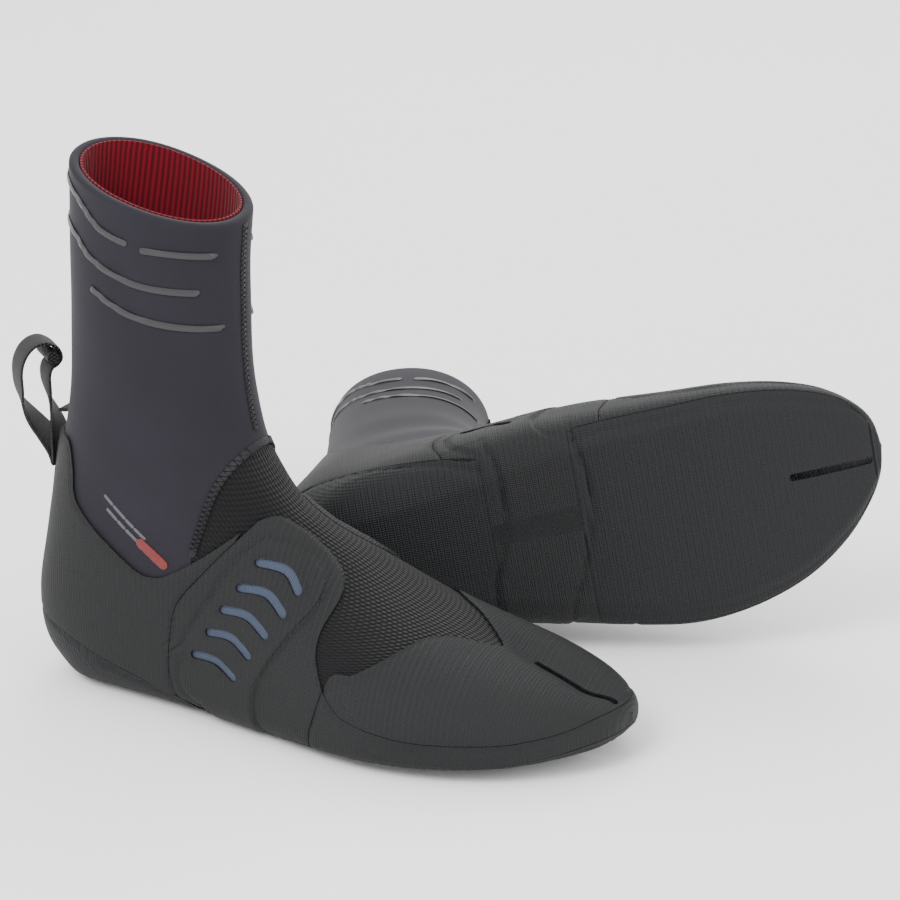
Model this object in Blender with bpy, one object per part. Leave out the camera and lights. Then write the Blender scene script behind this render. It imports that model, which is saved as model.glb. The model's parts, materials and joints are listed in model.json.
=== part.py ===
"""A pair of split-toe neoprene water boots.

The right boot stands on its sole and the left boot lies on its outer side behind it. Both are made
from the same patterns, and the left one is the mirror image. Each pattern is drawn in a boot's own
frame in millimetres: +X towards the toe, +Y towards the inner side, +Z up from the feather plane,
where the upper meets the rubber sole.
"""
import math

import bmesh
import bpy
import numpy as np
from mathutils import Matrix, Vector

MM = 0.001

# Driving dimensions, in millimetres
UPPER_LENGTH = 292.2
BALL_WIDTH = 109.0
SHAFT_HEIGHT = 252.0
NEOPRENE = 5.0
LINING = 1.0
RUBBER = 1.5
SOLE_RUBBER = 3.0
PAD_RISE = 0.8
INLAY = 0.5
TRIM = 0.8
STAY = 1.2
CLEARANCE = 0.3
TOE_GAP = 3.6
TOE_WALL = 1.5
SLOT_WIDTH = 4.0
BAR_WIDTH = 3.0
SEAM_WIDTH = 3.4
STRAP_WIDTH = 16.0
STRAP_THICKNESS = 1.6
GRIP_RADIUS = 3.0
GRIP_LENGTH = 20.0

# How the pair is laid out: turns in degrees, places in millimetres
STANDING_TURN = -28.2
LYING_TURNS = (-3.8, -10.4, -0.95)
LYING_OFFSET = (120.3, 60.0, 65.3)
MID_FOOT = 140.0

# The last is drawn at this size, and graded to the driving dimensions
LAST_LENGTH = 292.2
LAST_BALL = 109.0
LAST_HEIGHT = 252.0
GRADE = Vector((UPPER_LENGTH / LAST_LENGTH, BALL_WIDTH / LAST_BALL, SHAFT_HEIGHT / LAST_HEIGHT))

# Sections of the last from the rim down the shaft, round the heel and out to the toe. Each has its
# front point (x, z), its back or sole point (x, z), centre y, outer and inner half widths, where it
# is widest between front and back, and how square its front and back halves are.
LAST = np.array([
    [99, 227, 13, 252, 0, 34, 34, 0.50, 2.1, 2.1],
    [97, 200, 12, 216, 0, 33, 33, 0.50, 2.1, 2.1],
    [97, 171, 11, 176, 0, 32.5, 33, 0.50, 2.1, 2.1],
    [99, 144, 9, 138, 0, 33, 34, 0.50, 2.1, 2.1],
    [104, 123, 3, 103, 0, 34, 35, 0.50, 2.1, 2.3],
    [113, 107, -1.5, 71, 0, 36, 37.5, 0.50, 2.1, 2.6],
    [123, 96, -6, 40, 0, 36, 39, 0.55, 2.1, 2.8],
    [132, 90, -3, 15.5, 0, 36, 41, 0.55, 2.1, 2.8],
    [139, 86, 11, 2, 0, 36, 43, 0.56, 2.1, 2.8],
    [147, 82, 35, 0, 0, 37, 45, 0.57, 2.1, 3.0],
    [157, 77, 76, 0, 0, 41, 48, 0.58, 2.1, 3.4],
    [168, 71, 116, 0, 0, 47, 51, 0.62, 2.1, 4.0],
    [182, 64.5, 152, 0, 0, 53, 52, 0.67, 2.1, 4.5],
    [200, 57, 184, 1, 0, 57, 52, 0.70, 2.1, 4.5],
    [222, 49, 214, 2, 1.5, 55, 50, 0.70, 2.2, 4.5],
    [243, 42, 242, 4, 4, 48, 44, 0.70, 2.3, 4.0],
    [263, 34, 263, 7, 7, 37, 34, 0.65, 2.3, 3.3],
    [277, 27, 277, 10, 9, 23, 22, 0.60, 2.2, 2.8],
    [284, 21.5, 284, 13.5, 10, 11.5, 11, 0.50, 2.1, 2.4],
    [286.2, 17, 286.2, 17, 10, 0, 0, 0.50, 2.0, 2.0],
], float)
FIRST_SOLE_SECTION = 8
SECTION_STEPS = [0, 1.5, 3, 4, 5, 6, 7, 7.6, 8.2, 9, 10, 11, 12, 13, 14, 15, 16, 17, 18]
POINTS_ROUND = 12
RIM_TILT = 4.0
TILT_START = 147.0
TILT_RUN = 100.0
TILT_HALF = 35.0
SOLE_SWELL = 1.5
TOE_ROOM = 8.0
OPEN_TOP = 25.0

# The cleft between the big toe and the others
CLEFT_Y = 6.0
CLEFT_START = 240.0
CLEFT_END = 281.0
CLEFT_DEPTH = 8.5
CLEFT_REACH = 11.0

# Pattern lines seen from the side, as (x, z)
SEAM = [(84, -20), (84, 40), (86, 72), (91, 91), (95.5, 106), (100, 115), (106, 123), (122, 142)]
HEEL_TOP = [(-20, 119), (19, 119), (22.5, 107), (24, 95), (30, 87), (58, 65), (66, 62), (73, 63.5),
            (92, 75), (108, 87.4)]
CREASE = [(80, 6), (76, 20), (77, 40), (80, 52), (91, 66), (108, 85.2), (114, 92)]
WING_TOP = [(114, 92), (119, 93.5), (125, 91.5), (149, 78), (157, 72), (159.5, 65), (156, 53),
            (156.5, 43), (163, 30)]
WING_FRONT = [(163, 30), (160, 20), (157, 10), (156, 1.5)]
RAND_TOP = [(150, 46), (163, 30), (172, 22), (181, 19), (194, 17), (211, 15.5), (243, 16), (257, 17.5),
            (270, 20), (280, 23), (300, 25)]
SOLE_LINE = [(-20, 38), (5, 30), (30, 20), (60, 11), (80, 6), (97, 1.5), (140, 1.5), (156, 1.5),
             (184, 2), (214, 3.3), (242, 5.3), (263, 8.5), (277, 11.7), (300, 17)]
BAND_BACK = 97.0
BAND_FRONT = 140.0
PAD = [(97, -20), (97, 4), (84, 14), (82, 27), (84, 39), (98.5, 62), (113, 83), (122, 85), (141.5, 78),
       (150, 70), (149.5, 61), (139, 47), (127, 27), (125, 16), (128, 6), (140, 1), (140, -20)]
INLAY_EDGE = [(87, 22), (87, 33), (112, 75), (119, 80), (129, 79), (143, 71), (143, 62), (117, 20)]
SLOTS = [
    [(118, 75), (131, 73), (139.5, 66)],
    [(111, 63.5), (124.5, 63), (135, 56.5)],
    [(104, 53), (117, 52.5), (128, 46.5)],
    [(98, 42), (110, 42), (120.5, 36)],
    [(91, 30.5), (103, 30), (113, 24.5)],
]
SPLIT_LINE = 212.0
LINING_SPLIT = 121.0
BACK_BAR = [(-20, 243), (12, 242), (28, 235), (40, 225), (48, 221), (56, 218.5)]
HIGH_BAR = [(65, 216), (80, 214.5), (92, 213)]
MIDDLE_BAR = [(-20, 224), (12, 222), (26, 217), (35, 209.5), (48, 203.5), (64, 199), (86, 196.5)]
LOW_BAR = [(37, 194), (47, 189), (59, 184.5), (74, 181.5), (93, 179)]
BADGE = [(61.5, 78), (72.5, 69)]
BADGE_WIDTH = 4.6
FRONT_SEAM_LOW = 130.0

# The toe cap's rear edge seen from above, as (x, y)
CAP_EDGE = [(163.5, -70), (164.5, -52), (178, -50), (188, -45), (196, -36), (201.6, -27), (208.6, -20),
            (218, -14), (226, -9), (228, -2), (223.6, 4), (212, 11.5), (200, 19.5), (192, 27),
            (184, 37), (176, 45), (165, 50), (163.5, 70)]

# The pull loop seen from the side, as (x, z), starting at its sewn root
LOOP_ROOT = (-2.6, 99.0)
LOOP_PATH = [(-2.6, 97), (-4.6, 102.5), (-9, 108.5), (-14, 115), (-18, 123), (-20.8, 131), (-22, 139),
             (-21.8, 146), (-19.5, 152), (-15.5, 156), (-10.5, 157.4), (-6, 155.8), (-3.2, 152.8),
             (-2.8, 149.3), (-4.8, 146.6), (-7.4, 145), (-8.7, 141), (-8.4, 135), (-7, 128),
             (-5.2, 121), (-3.4, 113), (-2.5, 106)]
GRIP_CENTRE = (-7.1, 150.6)
TWIST_START = 106.0
TWIST_END = 138.0
TWIST_ANGLE = 48.0
ANCHOR_HEIGHT = 124.0
ANCHOR_REACH = (0.4, 4.4)
ANCHOR_WIDTH = 10.0

SOLE_DROP = SOLE_RUBBER + CLEARANCE
SKIN_OUT = CLEARANCE + RUBBER
PAD_OUT = SKIN_OUT + PAD_RISE
INLAY_OUT = CLEARANCE + INLAY
TRIM_OUT = CLEARANCE + TRIM
STAY_IN = SKIN_OUT + CLEARANCE
LINING_OUT = -NEOPRENE - CLEARANCE
FAR = 400.0
BACK_STAY_HALF = 11.0
BACK_STAY_HEIGHTS = (30.0, 117.0)

COLOURS = {
    "neoprene": ((0.040, 0.037, 0.050), 0.75),
    "mesh_knit": ((0.020, 0.019, 0.025), 0.85),
    "rubber": ((0.042, 0.043, 0.045), 0.60),
    "lining": ((0.300, 0.022, 0.042), 0.90),
    "inlay": ((0.130, 0.160, 0.220), 0.70),
    "bar": ((0.070, 0.070, 0.075), 0.35),
    "webbing": ((0.014, 0.014, 0.015), 0.70),
    "badge": ((0.330, 0.025, 0.025), 0.50),
    "thread": ((0.010, 0.010, 0.011), 0.80),
}


def clear_scene():
    for item in list(bpy.data.objects):
        bpy.data.objects.remove(item, do_unlink=True)


def collection(name, hidden=False):
    group = bpy.data.collections.new(name)
    bpy.context.scene.collection.children.link(group)
    group.hide_render = hidden
    return group


def material(name):
    colour, roughness = COLOURS[name]
    made = bpy.data.materials.new(name)
    made.use_nodes = True
    shader = made.node_tree.nodes["Principled BSDF"]
    shader.inputs["Base Color"].default_value = (*colour, 1.0)
    shader.inputs["Roughness"].default_value = roughness
    shader.inputs["Metallic"].default_value = 0.0
    return made


def graded(points, vertical=True):
    """Pattern points at the boot's real size: side views are (x, z) and plans are (x, y)."""
    other = GRADE.z if vertical else GRADE.y
    return [(x * GRADE.x, v * other) for x, v in points]


def section_at(step):
    """The last's section at a fractional place in its list, on a smooth curve through them."""
    last = len(LAST) - 1
    low = min(int(step), last - 1)
    t = step - low
    before, start, end, after = (LAST[min(max(low + k, 0), last)] for k in (-1, 0, 1, 2))
    row = 0.5 * (2 * start + (end - before) * t + (2 * before - 5 * start + 4 * end - after) * t ** 2
                 + (3 * start - before - 3 * end + after) * t ** 3)
    if step >= FIRST_SOLE_SECTION:
        row[3] = max(row[3], 0.0)
    return row * np.array([GRADE.x, GRADE.z, GRADE.x, GRADE.z, GRADE.y, GRADE.y, GRADE.y, 1, 1, 1])


def cleft_depth(x, y):
    """How far the top sinks between the toes."""
    along = (x / GRADE.x - CLEFT_START) / (CLEFT_END - CLEFT_START)
    if along < -0.8 or along > 1.15:
        return 0.0
    ramp = min(1.0, (along + 0.8) / 0.9) if along < 0.55 else max(0.0, (1.15 - along) / 0.6)
    across = (y / GRADE.y - CLEFT_Y) / CLEFT_REACH
    return CLEFT_DEPTH * GRADE.z * ramp * math.exp(-across ** 2)


def plain_ring(row, out, sole, on_sole):
    """One section as a closed ring of points, grown by out all round and by sole underneath."""
    front = Vector((row[0], row[1]))
    back = Vector((row[2], row[3]))
    floor = back.y - sole
    along = (back - front).normalized()
    front = front - along * out
    back = Vector((back.x, floor - SOLE_SWELL)) if on_sole else back + along * out
    across = back - front
    centre_y, outer, inner, widest, front_power, back_power = row[4:10]
    points = []
    for k in range(POINTS_ROUND):
        angle = 2 * math.pi * k / POINTS_ROUND
        c = math.cos(angle)
        s = math.sin(angle)
        power = 2 / (front_power if c >= 0 else back_power)
        share = -widest * abs(c) ** power if c >= 0 else (1 - widest) * abs(c) ** power
        half = -(outer + out) if s >= 0 else inner + out
        place = front + across * (widest + share)
        height = max(place.y, floor) if on_sole else place.y
        points.append(Vector((place.x, centre_y + half * abs(s) ** power, height)))
    return points


def ring(row, out, sole, on_sole):
    """A grown ring with the cleft sunk in it and the rim tilted, by as much in every layer."""
    points = plain_ring(row, out, sole, on_sole)
    on_last = plain_ring(row, 0.0, 0.0, on_sole)
    for k, (point, seat) in enumerate(zip(points, on_last)):
        if math.cos(2 * math.pi * k / POINTS_ROUND) > 0:
            point.z -= cleft_depth(seat.x, seat.y)
        point.z += min(max((seat.z / GRADE.z - TILT_START) / TILT_RUN, 0), 1) * RIM_TILT * seat.y / TILT_HALF
    return points


def form(name, out, sole=None, open_top=False):
    """The last as one closed solid, grown or shrunk by an even amount.

    Every form is split into triangles the same way, so that nested layers stay clear of each other.
    """
    sole = out if sole is None else sole
    shallowest = 2 * (NEOPRENE + CLEARANCE + LINING) + TOE_ROOM if out < 0 else 0.0
    rings = []
    for step in SECTION_STEPS:
        row = section_at(step)
        if math.hypot(row[2] - row[0], row[3] - row[1]) > shallowest:
            rings.append(ring(row, out, sole, step >= FIRST_SOLE_SECTION))
    if open_top:
        rings.insert(0, [point + Vector((0, 0, OPEN_TOP)) for point in rings[0]])
    tip = section_at(len(LAST) - 1)
    mesh = bmesh.new()
    loops = [[mesh.verts.new(point * MM) for point in points] for points in rings]
    pole = mesh.verts.new(Vector((tip[0] + out, tip[4], tip[1])) * MM)
    rim_centre = mesh.verts.new(sum(rings[0], Vector()) / POINTS_ROUND * MM)
    for k in range(POINTS_ROUND):
        following = (k + 1) % POINTS_ROUND
        mesh.faces.new((loops[0][k], loops[0][following], rim_centre))
        for upper, lower in zip(loops, loops[1:]):
            mesh.faces.new((upper[k], upper[following], lower[following]))
            mesh.faces.new((upper[k], lower[following], lower[k]))
        mesh.faces.new((loops[-1][k], loops[-1][following], pole))
    return tool_object(name, mesh)


def tool_object(name, mesh):
    bmesh.ops.recalc_face_normals(mesh, faces=mesh.faces)
    data = bpy.data.meshes.new(name)
    mesh.to_mesh(data)
    mesh.free()
    made = bpy.data.objects.new(name, data)
    made.display_type = "WIRE"
    made.hide_render = True
    CUTTERS.objects.link(made)
    return made


def prism(name, outlines, start, end, vertical=True):
    """Outlines extruded into solids: along Y from a side view, or along Z from a plan."""
    mesh = bmesh.new()
    for outline in outlines:
        if vertical:
            corners = [mesh.verts.new(Vector((x, start, z)) * MM) for x, z in outline]
            rise = Vector((0, end - start, 0)) * MM
        else:
            corners = [mesh.verts.new(Vector((x, y, start)) * MM) for x, y in outline]
            rise = Vector((0, 0, end - start)) * MM
        face = mesh.faces.new(corners)
        extruded = bmesh.ops.extrude_face_region(mesh, geom=[face])
        moved = [part for part in extruded["geom"] if isinstance(part, bmesh.types.BMVert)]
        bmesh.ops.translate(mesh, verts=moved, vec=rise)
    return tool_object(name, mesh)


def beside(points, distance):
    """A line moved sideways, to the left of its direction when the distance is positive."""
    moved = []
    for k, point in enumerate(points):
        before = Vector(points[max(k - 1, 0)])
        after = Vector(points[min(k + 1, len(points) - 1)])
        here = Vector(point)
        arms = [arm.normalized() for arm in (here - before, after - here) if arm.length > 0]
        left = sum((Vector((-arm.y, arm.x)) for arm in arms), Vector((0, 0))).normalized()
        stretch = 1 / max(left.dot(Vector((-arms[0].y, arms[0].x))), 0.6)
        moved.append(tuple(here + left * distance * stretch))
    return moved


def strip(points, width):
    """The outline of a band of even width along a line."""
    return beside(points, width / 2) + beside(points, -width / 2)[::-1]


def stadium(x_low, x_high, y, radius, steps=4):
    """The plan of a slot with round ends."""
    outline = []
    for centre, start in ((x_high - radius, -90), (x_low + radius, 90)):
        for k in range(steps + 1):
            angle = math.radians(start + 180 * k / steps)
            outline.append((centre + radius * math.cos(angle), y + radius * math.sin(angle)))
    return outline


def solid(source, keep=(), cut=()):
    """The mesh of a copy of one object, kept inside some solids and cut by others.

    The exact solver loses some of these thin skins at a second cut, so this uses the manifold one.
    """
    copy = bpy.data.objects.new(source.name + "_cut", source.data.copy())
    CUTTERS.objects.link(copy)
    for operation, tools in (("INTERSECT", keep), ("DIFFERENCE", cut)):
        for tool in tools:
            step = copy.modifiers.new(operation.lower(), "BOOLEAN")
            step.operation = operation
            step.solver = "MANIFOLD"
            step.object = tool
    bpy.context.view_layer.update()
    graph = bpy.context.evaluated_depsgraph_get()
    mesh = bpy.data.meshes.new_from_object(copy.evaluated_get(graph))
    bpy.data.objects.remove(copy, do_unlink=True)
    return mesh


def layer(name, outer, inner, outer_sole=None, inner_sole=None):
    """A skin of even thickness over the last, open at the rim."""
    outside = form(name + "_outside", outer, outer_sole)
    inside = form(name + "_inside", inner, inner_sole, open_top=True)
    made = bpy.data.objects.new(name, solid(outside, cut=[inside]))
    CUTTERS.objects.link(made)
    made.display_type = "WIRE"
    made.hide_render = True
    return made


def place_pair(name, mesh, colour, hinge=None):
    """Hang a piece on both boots. A piece that swings has its origin on its hinge."""
    mesh.materials.clear()
    mesh.materials.append(MATERIALS[colour])
    if hinge is not None:
        mesh.transform(Matrix.Translation(-hinge))
    for side in ("right", "left"):
        made = bpy.data.objects.new(f"{side}_{name}", mesh)
        PARTS.objects.link(made)
        made.parent = HOLDERS[side]["loop" if hinge is not None else "boot"]


def feather_line():
    """Where the foot bed's tray meets the upper, just above the neoprene underfoot."""
    lip = NEOPRENE + SOLE_SWELL
    base = [(-30, 0), (184, 1), (214, 2), (242, 4), (263, 7), (277, 10), (310, 14)]
    return [(x, z + lip) for x, z in graded(base)]


def make_upper():
    """Neoprene panels: the shaft, the mesh-faced instep, the toe box and the tray underfoot."""
    neoprene = layer("neoprene_layer", 0.0, -NEOPRENE)
    half = CLEARANCE / 2
    line = feather_line()
    above = [(FAR, FAR), (-FAR, FAR), (-FAR, line[0][1])]
    upper_side = prism("upper_side", [beside(line, half) + above], -FAR, FAR)
    tray_side = prism("tray_side", [beside(line, -half) + [(FAR, line[-1][1]), (FAR, -FAR), (-FAR, -FAR),
                                                           (-FAR, line[0][1])]], -FAR, FAR)
    seam = graded(SEAM)
    split = SPLIT_LINE * GRADE.x
    shaft_side = prism("shaft_side", [beside(seam, half) + [(seam[-1][0], FAR), (-FAR, FAR), (-FAR, -FAR),
                                                            (seam[0][0], -FAR)]], -FAR, FAR)
    instep_side = prism("instep_side", [beside(seam, -half) + [(split - half, seam[-1][1]),
                                                               (split - half, seam[0][1])]], -FAR, FAR)
    toe_side = prism("toe_side", [[(split + half, -FAR), (FAR, -FAR), (FAR, FAR), (split + half, FAR)]],
                     -FAR, FAR)
    hole = cleft_hole("cleft_in_neoprene", TOE_GAP / 2 + TOE_WALL + CLEARANCE)
    place_pair("shaft_panel", solid(neoprene, keep=[upper_side, shaft_side]), "neoprene")
    place_pair("instep_panel", solid(neoprene, keep=[upper_side, instep_side]), "mesh_knit")
    place_pair("toe_box", solid(neoprene, keep=[upper_side, toe_side], cut=[hole]), "neoprene")
    place_pair("foot_bed", solid(neoprene, keep=[tray_side], cut=[hole]), "neoprene")


def make_lining():
    """Knitted lining: a sleeve in the shaft and a sock in the foot."""
    lining = layer("lining_layer", LINING_OUT, LINING_OUT - LINING)
    split = LINING_SPLIT * GRADE.z
    half = CLEARANCE / 2
    sleeve_side = prism("sleeve_side", [[(-FAR, split + half), (FAR, split + half), (FAR, FAR),
                                         (-FAR, FAR)]], -FAR, FAR)
    sock_side = prism("sock_side", [[(-FAR, -FAR), (FAR, -FAR), (FAR, split - half),
                                     (-FAR, split - half)]], -FAR, FAR)
    hole = cleft_hole("cleft_in_lining", TOE_GAP / 2 + TOE_WALL + CLEARANCE)
    place_pair("shaft_lining", solid(lining, keep=[sleeve_side]), "lining")
    place_pair("foot_lining", solid(lining, keep=[sock_side], cut=[hole]), "lining")


def cleft_hole(name, radius):
    """A slot with round ends, straight through the toe."""
    grow = radius - TOE_GAP / 2
    outline = stadium(CLEFT_START * GRADE.x - grow, CLEFT_END * GRADE.x + grow, CLEFT_Y * GRADE.y, radius)
    return prism(name, [outline], -FAR, FAR, vertical=False)


def make_toe_split():
    """The wall that lines the cleft between the toes."""
    body = form("toe_solid", 0.0)
    outer = cleft_hole("cleft_outer", TOE_GAP / 2 + TOE_WALL)
    inner = cleft_hole("cleft_inner", TOE_GAP / 2)
    place_pair("toe_split_wall", solid(body, keep=[outer], cut=[inner]), "rubber")


def make_rubber():
    """Liquid rubber skin: heel cup, toe cap, rand and the two sole pieces, edge to edge."""
    skin = layer("rubber_layer", SKIN_OUT, CLEARANCE, SOLE_DROP, CLEARANCE)
    half = CLEARANCE / 2
    sole = graded(SOLE_LINE)
    crease = graded(CREASE)
    front = graded(WING_FRONT)
    rand_top = graded(RAND_TOP)
    band_back = BAND_BACK * GRADE.x
    band_front = BAND_FRONT * GRADE.x
    above_sole = prism("above_sole", [beside(sole, half) + [(FAR, sole[-1][1]), (FAR, FAR), (-FAR, FAR),
                                                            (-FAR, sole[0][1])]], -FAR, FAR)
    below_sole = prism("below_sole", [beside(sole, -half) + [(FAR, sole[-1][1]), (FAR, -FAR), (-FAR, -FAR),
                                                             (-FAR, sole[0][1])]], -FAR, FAR)
    heel_zone = prism("heel_zone", [[(-FAR, -FAR), (band_back - half, -FAR), (band_back - half, FAR),
                                     (-FAR, FAR)]], -FAR, FAR)
    fore_zone = prism("fore_zone", [[(band_front + half, -FAR), (FAR, -FAR), (FAR, FAR),
                                     (band_front + half, FAR)]], -FAR, FAR)
    heel_outline = graded(HEEL_TOP) + beside(crease, half)[-2::-1] + [(crease[0][0], -20), (-20, -20)]
    heel_side = prism("heel_side", [heel_outline], -FAR, FAR)
    rand_side = prism("rand_side", [beside(rand_top, -half)[1:] + [(FAR, rand_top[-1][1]), (FAR, -20)]
                                    + [(front[-1][0] + half, -20)] + beside(front, half)[::-1]], -FAR, FAR)
    cap_side = prism("cap_side", [beside(rand_top, half) + [(FAR, rand_top[-1][1]), (FAR, FAR),
                                                            (rand_top[0][0], FAR)]], -FAR, FAR)
    cap_plan = prism("cap_plan", [graded(CAP_EDGE, vertical=False) + [(FAR, 70 * GRADE.y),
                                                                      (FAR, -70 * GRADE.y)]],
                     -FAR, FAR, vertical=False)
    hole = cleft_hole("cleft_in_rubber", TOE_GAP / 2)
    place_pair("heel_cup", solid(skin, keep=[heel_side, above_sole]), "rubber")
    place_pair("rand", solid(skin, keep=[rand_side, above_sole]), "rubber")
    place_pair("toe_cap", solid(skin, keep=[cap_plan, cap_side], cut=[hole]), "rubber")
    place_pair("outsole_heel", solid(skin, keep=[below_sole, heel_zone]), "rubber")
    place_pair("outsole_forefoot", solid(skin, keep=[below_sole, fore_zone], cut=[hole]), "rubber")


def make_saddle():
    """The wrap under the arch with a slotted, raised pad on each side, and the inlays below it."""
    thick = layer("saddle_layer", PAD_OUT, CLEARANCE, SOLE_DROP, CLEARANCE)
    margin = layer("saddle_margin", PAD_OUT + NEOPRENE, SKIN_OUT, SOLE_DROP + NEOPRENE, SOLE_DROP)
    pocket = layer("saddle_pocket", INLAY_OUT + CLEARANCE, 0.0)
    inlay = layer("inlay_layer", INLAY_OUT, CLEARANCE)
    half = CLEARANCE / 2
    sole = graded([point for point in SOLE_LINE if 80 <= point[0] <= 156])
    crease = graded(CREASE)
    band_back = BAND_BACK * GRADE.x
    band_front = BAND_FRONT * GRADE.x
    low = sole[-1][1] + half
    wing = (graded(WING_TOP)[:-1] + beside(graded(WING_FRONT), -half)[:-1] + [(sole[-1][0] - half, low)]
            + [(band_front, low), (band_front, -20), (band_back, -20), (band_back, low)]
            + [(sole[0][0] + half, sole[0][1] + CLEARANCE)] + beside(crease, -half)[1:])
    wing_side = prism("wing_side", [wing], -FAR, FAR)
    pad = prism("pad_side", [graded(PAD)], -FAR, FAR)
    around_pad = bpy.data.objects.new("around_pad", solid(margin, cut=[pad]))
    CUTTERS.objects.link(around_pad)
    inlay_outline = graded(INLAY_EDGE)
    inlay_room = bpy.data.objects.new("inlay_room", solid(pocket, keep=[
        prism("inlay_hole", [beside(inlay_outline + inlay_outline[:1], CLEARANCE)[:-1]], -FAR, FAR)]))
    CUTTERS.objects.link(inlay_room)
    slots = prism("slots", [strip(graded(line), SLOT_WIDTH) for line in SLOTS], -FAR, FAR)
    saddle = solid(thick, keep=[wing_side], cut=[around_pad, inlay_room, slots])
    place_pair("saddle_wrap", saddle, "rubber")
    for name, start, end in (("lateral", -FAR, 0.0), ("medial", 0.0, FAR)):
        patch = prism("inlay_" + name, [inlay_outline], start, end)
        place_pair("slot_inlay_" + name, solid(inlay, keep=[patch]), "inlay")


def make_trim():
    """Seams, cuff bars and the badge, all bonded flat on the neoprene."""
    trim = layer("trim_layer", TRIM_OUT, CLEARANCE)
    seam = strip(graded([(88, 80)] + SEAM[3:]), SEAM_WIDTH)
    place_pair("instep_seam", solid(trim, keep=[prism("seam_side", [seam], -FAR, FAR)]), "thread")
    front = [(60, FRONT_SEAM_LOW * GRADE.z), (FAR, FRONT_SEAM_LOW * GRADE.z), (FAR, FAR), (60, FAR)]
    front_strip = prism("front_seam_side", [front], -SEAM_WIDTH / 2, SEAM_WIDTH / 2)
    place_pair("front_seam", solid(trim, keep=[front_strip]), "thread")
    bars = (("back", BACK_BAR, -FAR, FAR), ("middle", MIDDLE_BAR, -FAR, FAR),
            ("high_lateral", HIGH_BAR, -FAR, 0.0), ("high_medial", HIGH_BAR, 0.0, FAR),
            ("low_lateral", LOW_BAR, -FAR, 0.0), ("low_medial", LOW_BAR, 0.0, FAR))
    for name, line, start, end in bars:
        outline = strip(graded(line), BAR_WIDTH)
        place_pair("cuff_bar_" + name, solid(trim, keep=[prism("bar_" + name, [outline], start, end)]), "bar")
    badge = prism("badge_side", [strip(graded(BADGE), BADGE_WIDTH)], -FAR, 0.0)
    place_pair("side_badge", solid(trim, keep=[badge]), "badge")


def make_back_stay():
    """The strip that reinforces the back of the heel, on top of the heel cup."""
    stay = layer("stay_layer", STAY_IN + STAY, STAY_IN)
    low, high = (height * GRADE.z for height in BACK_STAY_HEIGHTS)
    outline = [(-FAR, low), (40, low), (40, high), (-FAR, high)]
    box = prism("stay_side", [outline], -BACK_STAY_HALF, BACK_STAY_HALF)
    place_pair("back_stay", solid(stay, keep=[box]), "rubber")


def loop_point(x, y, z):
    """A point of the pull loop at its place behind the heel, turned with the loop's twist."""
    root_x, root_z = LOOP_ROOT
    share = min(max((z - TWIST_START) / (TWIST_END - TWIST_START), 0.0), 1.0)
    angle = math.radians(TWIST_ANGLE) * share * share * (3 - 2 * share)
    along = x - root_x
    turned = Vector((root_x + along * math.cos(angle) - y * math.sin(angle),
                     along * math.sin(angle) + y * math.cos(angle), z))
    return turned + Vector((root_x * (GRADE.x - 1), 0, root_z * (GRADE.z - 1)))


def make_pull_loop():
    """A webbing strap sewn into a loop, its rolled grip core, and the tab on the shaft."""
    root = loop_point(LOOP_ROOT[0], 0, LOOP_ROOT[1])
    closed = [Vector(point) for point in LOOP_PATH]
    count = len(closed)
    mesh = bmesh.new()
    rings = []
    for k, here in enumerate(closed):
        run = (closed[(k + 1) % count] - closed[k - 1]).normalized()
        side = Vector((-run.y, run.x)) * STRAP_THICKNESS / 2
        corners = [(here + side, -1), (here + side, 1), (here - side, 1), (here - side, -1)]
        rings.append([mesh.verts.new(loop_point(p.x, end * STRAP_WIDTH / 2, p.y) * MM)
                      for p, end in corners])
    for k, near in enumerate(rings):
        far = rings[(k + 1) % count]
        for c in range(4):
            mesh.faces.new((near[c], near[(c + 1) % 4], far[(c + 1) % 4], far[c]))
    loop = tool_object("loop", mesh)
    place_pair("pull_loop", solid(loop), "webbing", hinge=root * MM)

    mesh = bmesh.new()
    bmesh.ops.create_cone(mesh, cap_ends=True, segments=16, radius1=GRIP_RADIUS * MM,
                          radius2=GRIP_RADIUS * MM, depth=GRIP_LENGTH * MM)
    turn = Matrix.Rotation(math.radians(TWIST_ANGLE), 4, "Z") @ Matrix.Rotation(math.radians(90), 4, "X")
    centre = loop_point(GRIP_CENTRE[0], 0, GRIP_CENTRE[1]) * MM
    bmesh.ops.transform(mesh, matrix=Matrix.Translation(centre) @ turn, verts=mesh.verts)
    place_pair("pull_loop_grip", solid(tool_object("grip", mesh)), "webbing", hinge=root * MM)

    high = ANCHOR_HEIGHT * GRADE.z
    low_x, high_x = (x * GRADE.x for x in ANCHOR_REACH)
    outline = [(low_x, high + 0.8), (low_x, high - 0.8), (high_x, high - 1.2), (high_x, high + 1.6)]
    tab = prism("anchor", [outline], -ANCHOR_WIDTH / 2, ANCHOR_WIDTH / 2)
    place_pair("loop_anchor", solid(tab), "webbing")
    return root * MM


def make_holders():
    """Empties that carry each boot and, at its hinge, each pull loop."""
    holders = {}
    for side in ("right", "left"):
        boot = bpy.data.objects.new(f"{side}_boot_frame", None)
        loop = bpy.data.objects.new(f"{side}_loop_hinge", None)
        PARTS.objects.link(boot)
        PARTS.objects.link(loop)
        loop.parent = boot
        holders[side] = {"boot": boot, "loop": loop}
    return holders


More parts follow.
